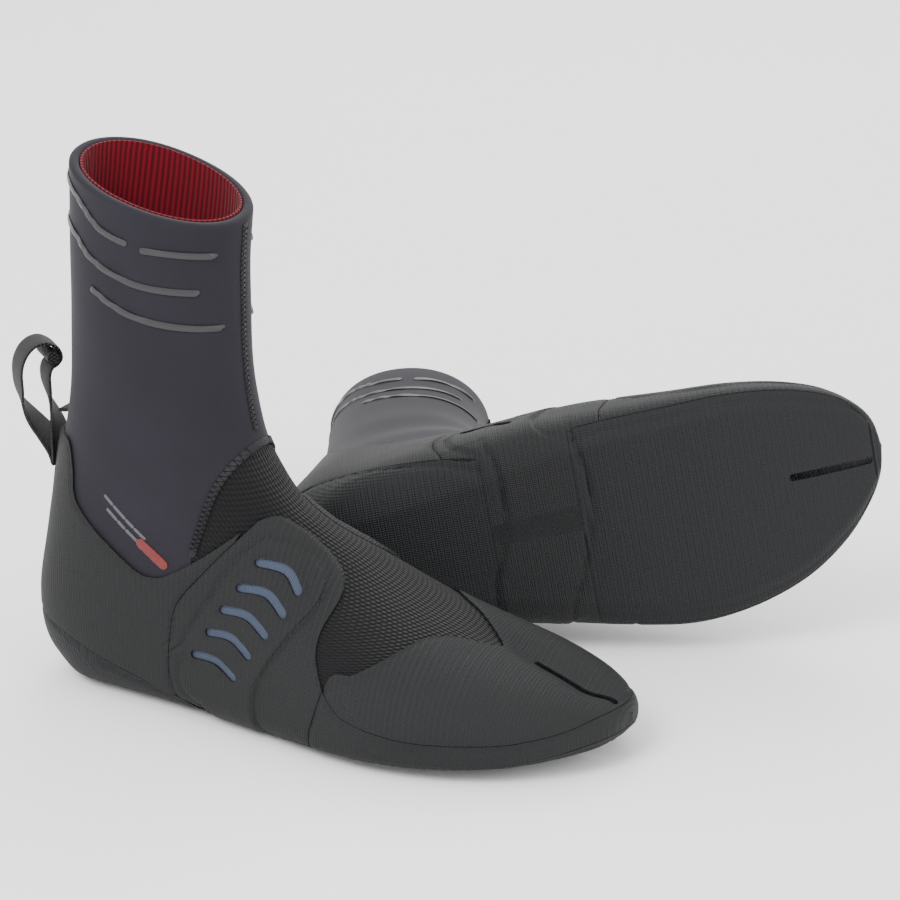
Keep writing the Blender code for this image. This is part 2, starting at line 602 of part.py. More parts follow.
def lay_out_pair(hinge):
    """Stand the right boot up, lay the left one on its side, and centre the pair on the floor."""
    for side in ("right", "left"):
        HOLDERS[side]["loop"].location = hinge
    lift = Matrix.Translation(Vector((-MID_FOOT * GRADE.x, 0, 0)) * MM)
    feather = Matrix.Translation(Vector((0, 0, SOLE_DROP)) * MM)
    standing = Matrix.Rotation(math.radians(STANDING_TURN), 4, "Z") @ lift @ feather
    turn = Matrix.Identity(4)
    for angle, axis in zip(LYING_TURNS, "XYZ"):
        turn = Matrix.Rotation(math.radians(angle), 4, axis) @ turn
    on_side = Matrix.Rotation(math.radians(-90), 4, "X") @ Matrix.Scale(-1, 4, Vector((0, 1, 0)))
    lying = Matrix.Translation(Vector(LYING_OFFSET) * MM) @ turn @ on_side @ lift @ feather
    HOLDERS["right"]["boot"].matrix_world = standing
    HOLDERS["left"]["boot"].matrix_world = lying
    bpy.context.view_layer.update()
    rest_on_floor("left")
    corners = [piece.matrix_world @ vertex.co for piece in PARTS.objects if piece.type == "MESH"
               for vertex in piece.data.vertices]
    low = Vector(min(corner[k] for corner in corners) for k in range(3))
    high = Vector(max(corner[k] for corner in corners) for k in range(3))
    shift = Vector(((low.x + high.x) / 2, (low.y + high.y) / 2, low.z))
    for side in ("right", "left"):
        HOLDERS[side]["boot"].matrix_world = (Matrix.Translation(-shift)
                                              @ HOLDERS[side]["boot"].matrix_world)
    bpy.context.view_layer.update()


def rest_on_floor(side):
    """Raise or lower one boot until its lowest point is on the floor."""
    lowest = min((piece.matrix_world @ vertex.co).z for piece in PARTS.objects
                 if piece.type == "MESH" and piece.name.startswith(side)
                 for vertex in piece.data.vertices)
    boot = HOLDERS[side]["boot"]
    boot.matrix_world = Matrix.Translation(Vector((0, 0, -lowest))) @ boot.matrix_world
    bpy.context.view_layer.update()


clear_scene()
PARTS = collection("neoprene_boots")
CUTTERS = collection("cutters", hidden=True)
MATERIALS = {name: material(name) for name in COLOURS}
HOLDERS = make_holders()
make_upper()
make_lining()
make_toe_split()
make_rubber()
make_saddle()
make_trim()
make_back_stay()
HINGE = make_pull_loop()
lay_out_pair(HINGE)
for tool in list(CUTTERS.objects):
    bpy.data.objects.remove(tool, do_unlink=True)
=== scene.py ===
"""Split-toe neoprene boots: the finished look of the pair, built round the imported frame."""
import json
import math

import bmesh
import bpy
import numpy as np
from mathutils import Matrix, Vector
from mathutils.bvhtree import BVHTree
from mathutils.kdtree import KDTree


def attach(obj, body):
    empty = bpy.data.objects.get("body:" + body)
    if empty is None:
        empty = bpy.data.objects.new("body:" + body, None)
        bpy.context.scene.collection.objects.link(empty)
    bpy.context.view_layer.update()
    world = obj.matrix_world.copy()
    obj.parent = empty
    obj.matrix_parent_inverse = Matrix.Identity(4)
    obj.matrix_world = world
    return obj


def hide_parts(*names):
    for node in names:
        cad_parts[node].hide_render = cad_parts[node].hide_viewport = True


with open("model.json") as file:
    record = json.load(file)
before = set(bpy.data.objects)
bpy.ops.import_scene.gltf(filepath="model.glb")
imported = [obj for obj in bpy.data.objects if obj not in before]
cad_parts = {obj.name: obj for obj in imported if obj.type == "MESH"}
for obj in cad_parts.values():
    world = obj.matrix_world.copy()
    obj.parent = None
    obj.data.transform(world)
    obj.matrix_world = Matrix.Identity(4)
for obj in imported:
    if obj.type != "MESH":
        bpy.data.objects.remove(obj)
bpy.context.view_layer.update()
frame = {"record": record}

# ---------------------------------------------------------------- where each boot sits
# The right boot stands on its sole and the left boot lies on its outer side. Each boot's own frame
# has +X to the toe, +Z up from the sole's feather line, and its place follows the loop's sewn root.
MM = 0.001
STANDING_TURN = -28.2
LYING_TURNS = (-3.8, -10.4, -0.95)
LOOP_ROOT = (-2.6, 99.0)
MID_FOOT = 140.0
SOLE_DROP = 3.3

standing = Matrix.Rotation(math.radians(STANDING_TURN), 3, "Z")
lying = Matrix.Identity(3)
for angle, axis in zip(LYING_TURNS, "XYZ"):
    lying = Matrix.Rotation(math.radians(angle), 3, axis) @ lying
lying = lying @ Matrix.Rotation(math.radians(-90), 3, "X")
root_in_boot = Vector((LOOP_ROOT[0], 0, LOOP_ROOT[1])) * MM
BOOT = {}
for joint in frame["record"]["behaviour"]["joints"]:
    for side, turn in (("right", standing), ("left", lying)):
        if joint["name"] == side + "_loop_swing":
            place = Vector(joint["pos_m"]) - turn @ root_in_boot
            BOOT[side] = Matrix.Translation(place) @ turn.to_4x4()

# ---------------------------------------------------------------- camera, floor and light
# A long lens looks slightly down on the lateral side of the standing boot. The floor is pale and
# seamless, and large soft lamps stand high on the left, in front and behind.
CAMERA_TILT = math.radians(20)
CAMERA_DISTANCE = 1.6
LENS_RATIO = 3.919
AIM_HEIGHT = 0.1
AIM_RIGHT = 0.1345
AIM_UP = 0.0611
SENSOR_WIDTH = 36

mid_foot = BOOT["right"] @ Vector((MID_FOOT * MM, 0, -SOLE_DROP * MM))
forward = Vector((0, math.cos(CAMERA_TILT), -math.sin(CAMERA_TILT)))
upward = Vector((0, math.sin(CAMERA_TILT), math.cos(CAMERA_TILT)))
eye = mid_foot + Vector((0, 0, AIM_HEIGHT)) - forward * CAMERA_DISTANCE
view = forward * LENS_RATIO + Vector((1, 0, 0)) * AIM_RIGHT + upward * AIM_UP
camera = bpy.data.objects.new("camera", bpy.data.cameras.new("camera"))
camera.data.sensor_width = SENSOR_WIDTH
camera.data.lens = LENS_RATIO * SENSOR_WIDTH
camera.location = eye
camera.rotation_euler = view.to_track_quat("-Z", "Y").to_euler()
bpy.context.scene.collection.objects.link(camera)
bpy.context.scene.camera = camera


def linear(code):
    """An sRGB hex colour as linear red, green and blue, with full opacity."""
    parts = [int(code[k:k + 2], 16) / 255 for k in (1, 3, 5)]
    return (*(c / 12.92 if c <= 0.04045 else ((c + 0.055) / 1.055) ** 2.4 for c in parts), 1.0)


def add(tree, kind, inputs=None, **settings):
    """A node with its settings, its values and the sockets that feed it."""
    node = tree.nodes.new(kind)
    for key, value in settings.items():
        setattr(node, key, value)
    for key, value in (inputs or {}).items():
        if isinstance(value, bpy.types.NodeSocket):
            tree.links.new(value, node.inputs[key])
        else:
            node.inputs[key].default_value = value
    return node


def shader(name, roughness, **values):
    """A new material and its Principled node."""
    made = bpy.data.materials.new(name)
    made.use_nodes = True
    surface = made.node_tree.nodes["Principled BSDF"]
    surface.inputs["Roughness"].default_value = roughness
    for key, value in values.items():
        surface.inputs[key.replace("_", " ")].default_value = value
    return made, made.node_tree, surface


def cover(tree, surface, blend, dark, light):
    """Colour a surface between two tones, by the share that a pattern gives."""
    colour = add(tree, "ShaderNodeMix", {"Factor": blend, 6: linear(dark), 7: linear(light)},
                 data_type="RGBA")
    tree.links.new(colour.outputs[2], surface.inputs["Base Color"])


def emboss(tree, surface, height, strength, deep_mm):
    """Raise a surface by a pattern."""
    bump = add(tree, "ShaderNodeBump", {"Height": height, "Strength": strength, "Distance": deep_mm * MM})
    tree.links.new(bump.outputs["Normal"], surface.inputs["Normal"])


paper, tree, surface = shader("seamless_paper", 0.9)
grain = add(tree, "ShaderNodeTexNoise", {"Scale": 60.0, "Detail": 3.0})
tint = add(tree, "ShaderNodeMapRange", {"Value": grain.outputs["Fac"], "To Min": 0.94, "To Max": 0.96})
shade = add(tree, "ShaderNodeCombineColor", {key: tint.outputs["Result"] for key in ("Red", "Green", "Blue")})
tree.links.new(shade.outputs["Color"], surface.inputs["Base Color"])
bpy.ops.mesh.primitive_plane_add(size=14, location=(0, 0, -0.0004))
floor = bpy.context.object
floor.name = "studio_floor"
floor.data.materials.append(paper)

world = bpy.data.worlds.new("studio")
bpy.context.scene.world = world
world.use_nodes = True
world.node_tree.nodes["Background"].inputs["Color"].default_value = (1, 1, 1, 1)
world.node_tree.nodes["Background"].inputs["Strength"].default_value = 1.7
for name, place, size, power in (("key", (-0.9, -1.2, 1.5), 0.9, 34), ("fill", (1.5, -1.1, 0.9), 1.2, 12),
                                 ("back", (0.3, 1.6, 1.6), 1.2, 22)):
    lamp = bpy.data.objects.new(name, bpy.data.lights.new(name, "AREA"))
    lamp.data.size = size
    lamp.data.energy = power
    lamp.location = place
    lamp.rotation_euler = (Vector((0, 0, 0.1)) - Vector(place)).to_track_quat("-Z", "Y").to_euler()
    bpy.context.scene.collection.objects.link(lamp)

# ---------------------------------------------------------------- the last
# Every panel is laid over one foot form. Its sections run from the rim down the shaft, round the
# heel and out to the toe: front point (x, z), back or sole point (x, z), centre, outer and inner half
# widths, where it is widest, and how square its front and back halves are. Sizes are millimetres.
LAST = np.array([
    [99, 227, 13, 252, 0, 34, 34, 0.50, 2.1, 2.1],
    [97, 200, 12, 216, 0, 33, 33, 0.50, 2.1, 2.1],
    [97, 171, 11, 176, 0, 32.5, 33, 0.50, 2.1, 2.1],
    [99, 144, 9, 138, 0, 33, 34, 0.50, 2.1, 2.1],
    [104, 123, 3, 103, 0, 34, 35, 0.50, 2.1, 2.3],
    [113, 107, -1.5, 71, 0, 36, 37.5, 0.50, 2.1, 2.6],
    [123, 96, -6, 40, 0, 36, 39, 0.55, 2.1, 2.8],
    [132, 90, -3, 15.5, 0, 36, 41, 0.55, 2.1, 2.8],
    [139, 86, 11, 2, 0, 36, 43, 0.56, 2.1, 2.8],
    [147, 82, 35, 0, 0, 37, 45, 0.57, 2.1, 3.0],
    [157, 77, 76, 0, 0, 41, 48, 0.58, 2.1, 3.4],
    [168, 71, 116, 0, 0, 47, 51, 0.62, 2.1, 4.0],
    [182, 64.5, 152, 0, 0, 53, 52, 0.67, 2.1, 4.5],
    [200, 57, 184, 1, 0, 57, 52, 0.70, 2.1, 4.5],
    [222, 49, 214, 2, 1.5, 55, 50, 0.70, 2.2, 4.5],
    [243, 42, 242, 4, 4, 48, 44, 0.70, 2.3, 4.0],
    [263, 34, 263, 7, 7, 37, 34, 0.65, 2.3, 3.3],
    [277, 27, 277, 10, 9, 23, 22, 0.60, 2.2, 2.8],
    [284, 21.5, 284, 13.5, 10, 11.5, 11, 0.50, 2.1, 2.4],
    [286.2, 17, 286.2, 17, 10, 0, 0, 0.50, 2.0, 2.0],
], float)
FIRST_SOLE_SECTION = 8
AROUND = 144
RIM_TILT, TILT_START, TILT_RUN, TILT_HALF = 4.0, 147, 100, 35
RIPPLE = 0.35
SOLE_SWELL = 1.5
CLEFT_Y, CLEFT_START, CLEFT_END, CLEFT_DEPTH, CLEFT_REACH = 6.0, 240.0, 281.0, 8.5, 11.0
FAR = 400.0
STEPS = np.concatenate([np.linspace(0, 0.16, 6), np.arange(0.24, 7.4, 0.085), np.arange(7.4, 8.6, 0.05),
                        np.arange(8.6, 12.4, 0.035), np.arange(12.4, 18.0, 0.075),
                        np.linspace(18.0, 18.93, 20)])


def sections(steps):
    """Rows of the last at fractional steps, on a smooth curve through its sections."""
    low = np.minimum(steps.astype(int), len(LAST) - 2)
    t = (steps - low)[:, None]
    before, start, end, after = (LAST[np.clip(low + k, 0, len(LAST) - 1)] for k in (-1, 0, 1, 2))
    rows = 0.5 * (2 * start + (end - before) * t + (2 * before - 5 * start + 4 * end - after) * t ** 2
                  + (3 * start - before - 3 * end + after) * t ** 3)
    rows[:, 3] = np.where(steps >= FIRST_SOLE_SECTION, np.maximum(rows[:, 3], 0), rows[:, 3])
    rows[:, 5:7] = np.maximum(rows[:, 5:7], 0.4)
    return rows


def loft(out=0.0, sole=None, steps=STEPS):
    """Points of the last grown by out, which may differ from point to point, and by sole below."""
    rows = sections(steps)
    out = np.broadcast_to(np.asarray(out, float), (len(steps), AROUND))
    sole = out if sole is None else np.broadcast_to(np.asarray(sole, float), out.shape)

    def plain(grow, under):
        """The form before the toes' valley and the rim's tilt."""
        front, back = rows[:, None, 0:2], rows[:, None, 2:4]
        along = (back - front) / np.linalg.norm(back - front, axis=2, keepdims=True)
        tread = np.clip((steps - 7.4) / 0.6, 0, 1)[:, None]
        tread = tread * tread * (3 - 2 * tread)
        level = rows[:, None, 3] - under
        near = front - along * grow[..., None]
        heel = back + along * grow[..., None]
        flat = np.stack([np.broadcast_to(back[..., 0], level.shape), level - SOLE_SWELL], -1)
        far = heel * (1 - tread[..., None]) + flat * tread[..., None]
        across = far - near
        angle = 2 * math.pi * np.arange(AROUND) / AROUND
        c, s = np.cos(angle)[None], np.sin(angle)[None]
        power = 2 / np.where(c >= 0, rows[:, 8:9], rows[:, 9:10])
        widest = rows[:, 7:8]
        share = np.where(c >= 0, -widest, 1 - widest) * np.abs(c) ** power
        half = np.where(s >= 0, -(rows[:, 5:6] + grow), rows[:, 6:7] + grow)
        spot = near + across * (widest + share)[..., None]
        y = rows[:, 4:5] + half * np.abs(s) ** power
        z = np.where(tread > 0, np.maximum(spot[..., 1], level - (1 - tread) * 6), spot[..., 1])
        return spot[..., 0], y, z, np.broadcast_to(c, z.shape)

    x, y, z, c = plain(out, sole)
    sx, sy, sz, _ = plain(np.zeros_like(out), np.zeros_like(out))
    along = (sx - CLEFT_START) / (CLEFT_END - CLEFT_START)
    ramp = np.where(along < 0.55, np.clip((along + 0.8) / 0.9, 0, 1), np.clip((1.15 - along) / 0.6, 0, 1))
    ramp = ramp * ramp * (3 - 2 * ramp)
    valley = CLEFT_DEPTH * ramp * np.exp(-((sy - CLEFT_Y) / CLEFT_REACH) ** 2)
    z = z - valley * np.clip(c * 3, 0, 1)
    z = z + np.clip((sz - TILT_START) / TILT_RUN, 0, 1) * RIM_TILT * sy / TILT_HALF
    # Soft, uneven waves keep the leg's cloth from looking machined.
    ripple = RIPPLE * np.sin(sz / 9 + sx / 31) * np.sin(sy / 17 + sz / 41) * np.clip((sz - 80) / 60, 0, 1)
    return np.stack([x + ripple * 0.3, y + ripple * np.sign(sy), z], -1)


BASE = loft()


def grid_faces(count, around, offset=0, flip=False):
    """Quads between rings of points, in one order or the other."""
    faces = []
    for i in range(count - 1):
        for k in range(around):
            n = (k + 1) % around
            quad = (i * around + k, (i + 1) * around + k, (i + 1) * around + n, i * around + n)
            faces.append(tuple(offset + q for q in (quad[::-1] if flip else quad)))
    return faces


def solid_mesh(name, points, faces):
    """A mesh of triangles that face outwards, from points in millimetres."""
    mesh = bpy.data.meshes.new(name)
    mesh.from_pydata((points * MM).tolist(), [], faces)
    build = bmesh.new()
    build.from_mesh(mesh)
    bmesh.ops.recalc_face_normals(build, faces=build.faces)
    bmesh.ops.triangulate(build, faces=build.faces)
    build.to_mesh(mesh)
    build.free()
    return mesh


def shell(outer, inner, closed_toe=True):
    """A closed solid between two lofts that share their rows: rim, outside, inside and toe."""
    count, around = outer.shape[:2]
    points = np.concatenate([outer.reshape(-1, 3), inner.reshape(-1, 3)])
    total = count * around
    faces = grid_faces(count, around) + grid_faces(count, around, total, flip=True)
    for k in range(around):
        n = (k + 1) % around
        faces.append((k, n, total + n, total + k))
    last = (count - 1) * around
    if closed_toe:
        tips = [outer[-1].mean(0) + (0.6, 0, 0), inner[-1].mean(0) + (0.6, 0, 0)]
        points = np.concatenate([points, tips])
        for k in range(around):
            n = (k + 1) % around
            faces.append((last + k, 2 * total, last + n))
            faces.append((total + last + n, 2 * total + 1, total + last + k))
    else:
        for k in range(around):
            n = (k + 1) % around
            faces.append((last + n, last + k, total + last + k, total + last + n))
    return solid_mesh("shell", points, faces)


def whole(outer):
    """A closed form inside one loft, capped at its top and its toe."""
    count, around = outer.shape[:2]
    points = np.concatenate([outer.reshape(-1, 3), [outer[0].mean(0), outer[-1].mean(0) + (0.6, 0, 0)]])
    faces = grid_faces(count, around)
    for k in range(around):
        n, last = (k + 1) % around, (count - 1) * around
        faces += [(k, n, count * around), (last + k, count * around + 1, last + n)]
    return solid_mesh("whole", points, faces)


def curve_through(points, share=6):
    """A smooth line through a few points."""
    spots = np.array(points, float)
    line = []
    for k in range(len(spots) - 1):
        a, b, c, d = (spots[min(max(k + j, 0), len(spots) - 1)] for j in (-1, 0, 1, 2))
        for t in np.arange(share) / share:
            line.append(0.5 * (2 * b + (c - a) * t + (2 * a - 5 * b + 4 * c - d) * t ** 2
                               + (3 * b - a - 3 * c + d) * t ** 3))
    line.append(spots[-1])
    return [tuple(point) for point in line]


def prism(outline, start=-FAR, end=FAR, plan=False):
    """An outline drawn out along Y from a side view, or along Z from a plan."""
    build = bmesh.new()
    corners = [build.verts.new(Vector((a, b, start) if plan else (a, start, b)) * MM) for a, b in outline]
    face = build.faces.new(corners)
    made = bmesh.ops.extrude_face_region(build, geom=[face])
    rise = Vector((0, 0, end - start) if plan else (0, end - start, 0)) * MM
    bmesh.ops.translate(build, verts=[v for v in made["geom"] if isinstance(v, bmesh.types.BMVert)], vec=rise)
    bmesh.ops.recalc_face_normals(build, faces=build.faces)
    bmesh.ops.triangulate(build, faces=build.faces)
    mesh = bpy.data.meshes.new("prism")
    build.to_mesh(mesh)
    build.free()
    return mesh


def trimmed(mesh, keep=(), cut=()):
    """A mesh kept inside some prisms and cut by others."""
    work = bpy.data.objects.new("work", mesh)
    bpy.context.scene.collection.objects.link(work)
    helpers = []
    for operation, tools in (("INTERSECT", keep), ("DIFFERENCE", cut)):
        for tool in tools:
            helper = bpy.data.objects.new("helper", tool)
            bpy.context.scene.collection.objects.link(helper)
            helpers.append(helper)
            step = work.modifiers.new("trim", "BOOLEAN")
            step.operation = operation
            step.solver = "MANIFOLD"
            step.object = helper
    bpy.context.view_layer.update()
    graph = bpy.context.evaluated_depsgraph_get()
    done = bpy.data.meshes.new_from_object(work.evaluated_get(graph))
    for item in (work, *helpers):
        bpy.data.objects.remove(item, do_unlink=True)
    return done


def far_from(points, line):
    """How far each 2-D point is from a line of joined points."""
    best = np.full(points.shape[:-1], 1e9)
    spots = np.array(line, float)
    for a, b in zip(spots, spots[1:]):
        run = b - a
        t = np.clip(((points - a) @ run) / max(run @ run, 1e-9), 0, 1)
        best = np.minimum(best, np.linalg.norm(points - (a + t[..., None] * run), axis=-1))
    return best


def within(points, outline):
    """Whether each 2-D point is inside a closed outline."""
    spots = np.array(outline, float)
    x, y = points[..., 0], points[..., 1]
    inside = np.zeros(points.shape[:-1], bool)
    for (ax, ay), (bx, by) in zip(spots, np.roll(spots, -1, axis=0)):
        crosses = (ay > y) != (by > y)
        inside ^= crosses & (x < (bx - ax) * (y - ay) / (by - ay + 1e-12) + ax)
    return inside


def beside(points, distance):
    """A line moved sideways, to the left of its direction when the distance is positive."""
    spots = np.array(points, float)
    run = np.gradient(spots, axis=0)
    run /= np.linalg.norm(run, axis=1, keepdims=True)
    return [tuple(p) for p in spots + np.stack([-run[:, 1], run[:, 0]], 1) * distance]


def band(points, width, ends=5):
    """The outline of an even strip along a line, with round ends."""
    spots = np.array(points, float)
    outline = beside(points, width / 2)
    for tip, run in ((spots[-1], spots[-1] - spots[-2]), (spots[0], spots[0] - spots[1])):
        start = math.atan2(run[1], run[0]) + math.pi / 2
        for k in range(1, ends):
            angle = start - math.pi * k / ends
            outline.append(tuple(tip + width / 2 * np.array([math.cos(angle), math.sin(angle)])))
        if np.allclose(tip, spots[-1]):
            outline += beside(points, -width / 2)[::-1]
    return outline


# The cloth map measures each point along and round the last, so that patterns follow the panels.
lengths = np.concatenate([[np.zeros(AROUND)], np.cumsum(np.linalg.norm(np.diff(BASE, axis=0), axis=2), 0)])
step_round = np.linalg.norm(BASE - np.roll(BASE, 1, axis=1), axis=2)
girth = np.cumsum(step_round, axis=1) - step_round[:, :1]
girth = np.where(np.arange(AROUND) > AROUND / 2, girth - step_round.sum(1, keepdims=True), girth)
cloth_tree = KDTree(BASE.shape[0] * AROUND)
for index, spot in enumerate((BASE.reshape(-1, 3) * MM).tolist()):
    cloth_tree.insert(spot, index)
cloth_tree.balance()
cloth_along = (lengths * MM).reshape(-1)
cloth_round = (girth * MM).reshape(-1)
base_points = BASE.reshape(-1, 3) * MM
run_along = np.gradient(BASE, axis=0)
run_along /= np.linalg.norm(run_along, axis=2, keepdims=True) + 1e-9
run_round = np.roll(BASE, -1, axis=1) - np.roll(BASE, 1, axis=1)
run_round /= np.linalg.norm(run_round, axis=2, keepdims=True) + 1e-9
run_along = run_along.reshape(-1, 3)
run_round = run_round.reshape(-1, 3)


def map_cloth(mesh):
    """A UV map in metres along and round the boot."""
    near = np.array([cloth_tree.find(v.co)[1] for v in mesh.vertices])
    spots = np.array([v.co[:] for v in mesh.vertices]) - base_points[near]
    along = cloth_along[near] + (spots * run_along[near]).sum(1)
    turn = cloth_round[near] + (spots * run_round[near]).sum(1)
    layer = mesh.uv_layers.new(name="cloth")
    corner = np.zeros(len(mesh.loops), int)
    mesh.loops.foreach_get("vertex_index", corner)
    layer.data.foreach_set("uv", np.stack([turn[corner], along[corner]], 1).reshape(-1))


def put_on(name, mesh, finish, nodes, body="boot", angle=35):
    """Map a piece, finish it and place it on both boots, mirrored on the left one."""
    if not mesh.uv_layers:
        map_cloth(mesh)
    mesh.materials.clear()
    mesh.materials.append(finish)
    mesh.shade_smooth()
    mesh.set_sharp_from_angle(angle=math.radians(angle))
    place = mesh.attributes.new("boot", "FLOAT_VECTOR", "POINT")
    spots = np.zeros(len(mesh.vertices) * 3)
    mesh.vertices.foreach_get("co", spots)
    place.data.foreach_set("vector", spots)
    other = mesh.copy()
    other.transform(Matrix.Scale(-1, 4, Vector((0, 1, 0))))
    other.flip_normals()
    for side, data in (("right", mesh), ("left", other)):
        data.transform(BOOT[side])
        piece = bpy.data.objects.new(f"{side}_{name}", data)
        bpy.context.scene.collection.objects.link(piece)
        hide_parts(*(f"{side}_{node}" for node in nodes))
        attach(piece, f"{side}_{body}")


def side_view(points):
    """The x and z of points."""
    return points[..., [0, 2]]


def edge_drop(distance, depth, reach):
    """How much a skin thins towards its edge."""
    return depth * np.clip(1 - distance / reach, 0, 1) ** 2


# ---------------------------------------------------------------- shaft
# The leg and ankle are one panel of 5 mm neoprene faced with smooth dyed jersey, cut at the rim.
# Jersey is matte with a soft sheen at grazing angles, and its knit is far finer than a millimetre.
NEOPRENE = 5.0
RIM_ROUND = 2.2
JOINT_GAP = 0.15
SEAM = [(84, -20), (84, 40), (86, 72), (91, 91), (95.5, 106), (100, 115), (106, 123), (122, 142)]
seam_line = curve_through(SEAM)

neoprene, tree, surface = shader("jersey_faced_neoprene", 0.8, Specular_IOR_Level=0.18, Sheen_Weight=0.07,
                               Sheen_Roughness=0.45)
cloth = add(tree, "ShaderNodeUVMap", uv_map="cloth")
tone = add(tree, "ShaderNodeTexNoise", {"Vector": cloth.outputs["UV"], "Scale": 22.0, "Detail": 4.0})
cover(tree, surface, tone.outputs["Fac"], "#18161c", "#221f27")
# The jersey's 0.3 mm stitches are drawn about 0.9 mm apart so that they show.
stitch = add(tree, "ShaderNodeTexNoise", {"Vector": cloth.outputs["UV"], "Scale": 1100.0, "Detail": 2.0})
emboss(tree, surface, stitch.outputs["Fac"], 0.25, 0.4)

shaft_steps = STEPS[STEPS <= 9.6]
depth_from_rim = lengths[:len(shaft_steps)]
roll = np.clip(1 - depth_from_rim / RIM_ROUND, 0, 1)
roll = RIM_ROUND * (1 - np.sqrt(1 - roll ** 2))
panel = shell(loft(-roll * 0.9, steps=shaft_steps), loft(-NEOPRENE + roll * 0.6, steps=shaft_steps),
              closed_toe=False)
shaft_outline = beside(seam_line, JOINT_GAP) + [(122, FAR), (-FAR, FAR), (-FAR, -3), (84, -3)]
mesh = trimmed(panel, keep=[prism([p for p in shaft_outline if p[1] > -4])])
put_on("shaft", mesh, neoprene, ["shaft_panel"], angle=50)

# ---------------------------------------------------------------- linings
# A thermal fleece sleeve and sock, knitted in ribs that run down the leg. Fleece is soft and rough,
# with a deep red pile whose ribs catch the light.
LINING = 1.0
LINING_OUT = -5.3
fleece, tree, surface = shader("ribbed_thermal_fleece", 0.95, Specular_IOR_Level=0.1, Sheen_Weight=0.08)
cloth = add(tree, "ShaderNodeUVMap", uv_map="cloth")
split = add(tree, "ShaderNodeSeparateXYZ", {"Vector": cloth.outputs["UV"]})
# The ribs are 3 mm apart.
phase = add(tree, "ShaderNodeMath", {0: split.outputs["X"], 1: 2 * math.pi / 0.003}, operation="MULTIPLY")
rib = add(tree, "ShaderNodeMath", {0: phase.outputs[0]}, operation="SINE")
pile = add(tree, "ShaderNodeTexNoise", {"Vector": cloth.outputs["UV"], "Scale": 900.0, "Detail": 2.0})
height = add(tree, "ShaderNodeMath", {0: pile.outputs["Fac"], 1: 0.8, 2: rib.outputs[0]},
             operation="MULTIPLY_ADD")
mix = add(tree, "ShaderNodeMapRange", {"Value": height.outputs[0], "From Min": -0.8, "From Max": 1.5})
cover(tree, surface, mix.outputs["Result"], "#38060f", "#6c0e1c")
emboss(tree, surface, height.outputs[0], 0.4, 0.5)

sleeve_steps = STEPS[STEPS <= 4.2]
sleeve = shell(loft(LINING_OUT, steps=sleeve_steps), loft(LINING_OUT - LINING, steps=sleeve_steps),
               closed_toe=False)
put_on("sleeve_lining", sleeve, fleece, ["shaft_lining"])
sock_steps = STEPS[(STEPS >= 4.2) & (STEPS <= 14.8)]
sock = shell(loft(LINING_OUT, steps=sock_steps), loft(LINING_OUT - LINING, steps=sock_steps))
put_on("sock_lining", sock, fleece, ["foot_lining"])

# ---------------------------------------------------------------- instep, toe and underfoot panels
# The instep is neoprene faced with an open diamond knit, sewn to the shaft. It is almost black, and
# its raised cells are what the eye sees. The toe's sheet has the same face, and the sole's has jersey.
knit, tree, surface = shader("diamond_knit_face", 0.75, Specular_IOR_Level=0.2, Sheen_Weight=0.04)
cloth = add(tree, "ShaderNodeUVMap", uv_map="cloth")
# Cells are 1.9 mm wide and 2.6 mm long, in rows that step by half a cell.
cells = add(tree, "ShaderNodeMapping", {"Vector": cloth.outputs["UV"], "Scale": (1 / 0.0019, 1 / 0.0026, 1)})
split = add(tree, "ShaderNodeSeparateXYZ", {"Vector": cells.outputs["Vector"]})
one = add(tree, "ShaderNodeMath", {0: split.outputs["X"], 1: split.outputs["Y"]}, operation="ADD")
two = add(tree, "ShaderNodeMath", {0: split.outputs["X"], 1: split.outputs["Y"]}, operation="SUBTRACT")
waves = []
for part in (one, two):
    phase = add(tree, "ShaderNodeMath", {0: part.outputs[0], 1: math.pi}, operation="MULTIPLY")
    waves.append(add(tree, "ShaderNodeMath", {0: phase.outputs[0]}, operation="SINE"))
cell = add(tree, "ShaderNodeMath", {0: waves[0].outputs[0], 1: waves[1].outputs[0]}, operation="MULTIPLY")
mix = add(tree, "ShaderNodeMapRange", {"Value": cell.outputs[0], "From Min": -0.5, "From Max": 0.9})
cover(tree, surface, mix.outputs["Result"], "#020203", "#100f13")
emboss(tree, surface, cell.outputs[0], 0.9, 0.7)

foot_steps = STEPS[STEPS >= 3.2]
INSTEP_SPLIT = 229.0
SKIN_SLIT, WALL_SLIT, SHEET_SLIT = 1.8, 3.3, 3.6
feather = [(-30, 6.5), (184, 7.5), (214, 8.5), (242, 10.5), (263, 13.5), (277, 16.5), (310, 20.5)]


def foot_sheet():
    """The neoprene under the rubber, from the ankle to the toe."""
    return shell(loft(0.0, steps=foot_steps), loft(-2.0, steps=foot_steps))


# The panel's rear edge starts a little way up the seam, just above the feather line.
instep_outline = beside(seam_line, -JOINT_GAP)[3:] + [(INSTEP_SPLIT, 142), (INSTEP_SPLIT, 6), (84, 6)]
above_feather = prism(feather + [(310, FAR), (-30, FAR)])
mesh = trimmed(foot_sheet(), keep=[prism(instep_outline), above_feather])
put_on("instep", mesh, knit, ["instep_panel"])


def slit(radius):
    """The plan of the cut between the toes, with round ends."""
    grow = radius - SKIN_SLIT
    outline = []
    for centre, start in ((CLEFT_END + grow - radius, -90), (CLEFT_START - grow + radius, 90)):
        for k in range(13):
            angle = math.radians(start + 15 * k)
            outline.append((centre + radius * math.cos(angle), CLEFT_Y + radius * math.sin(angle)))
    return outline


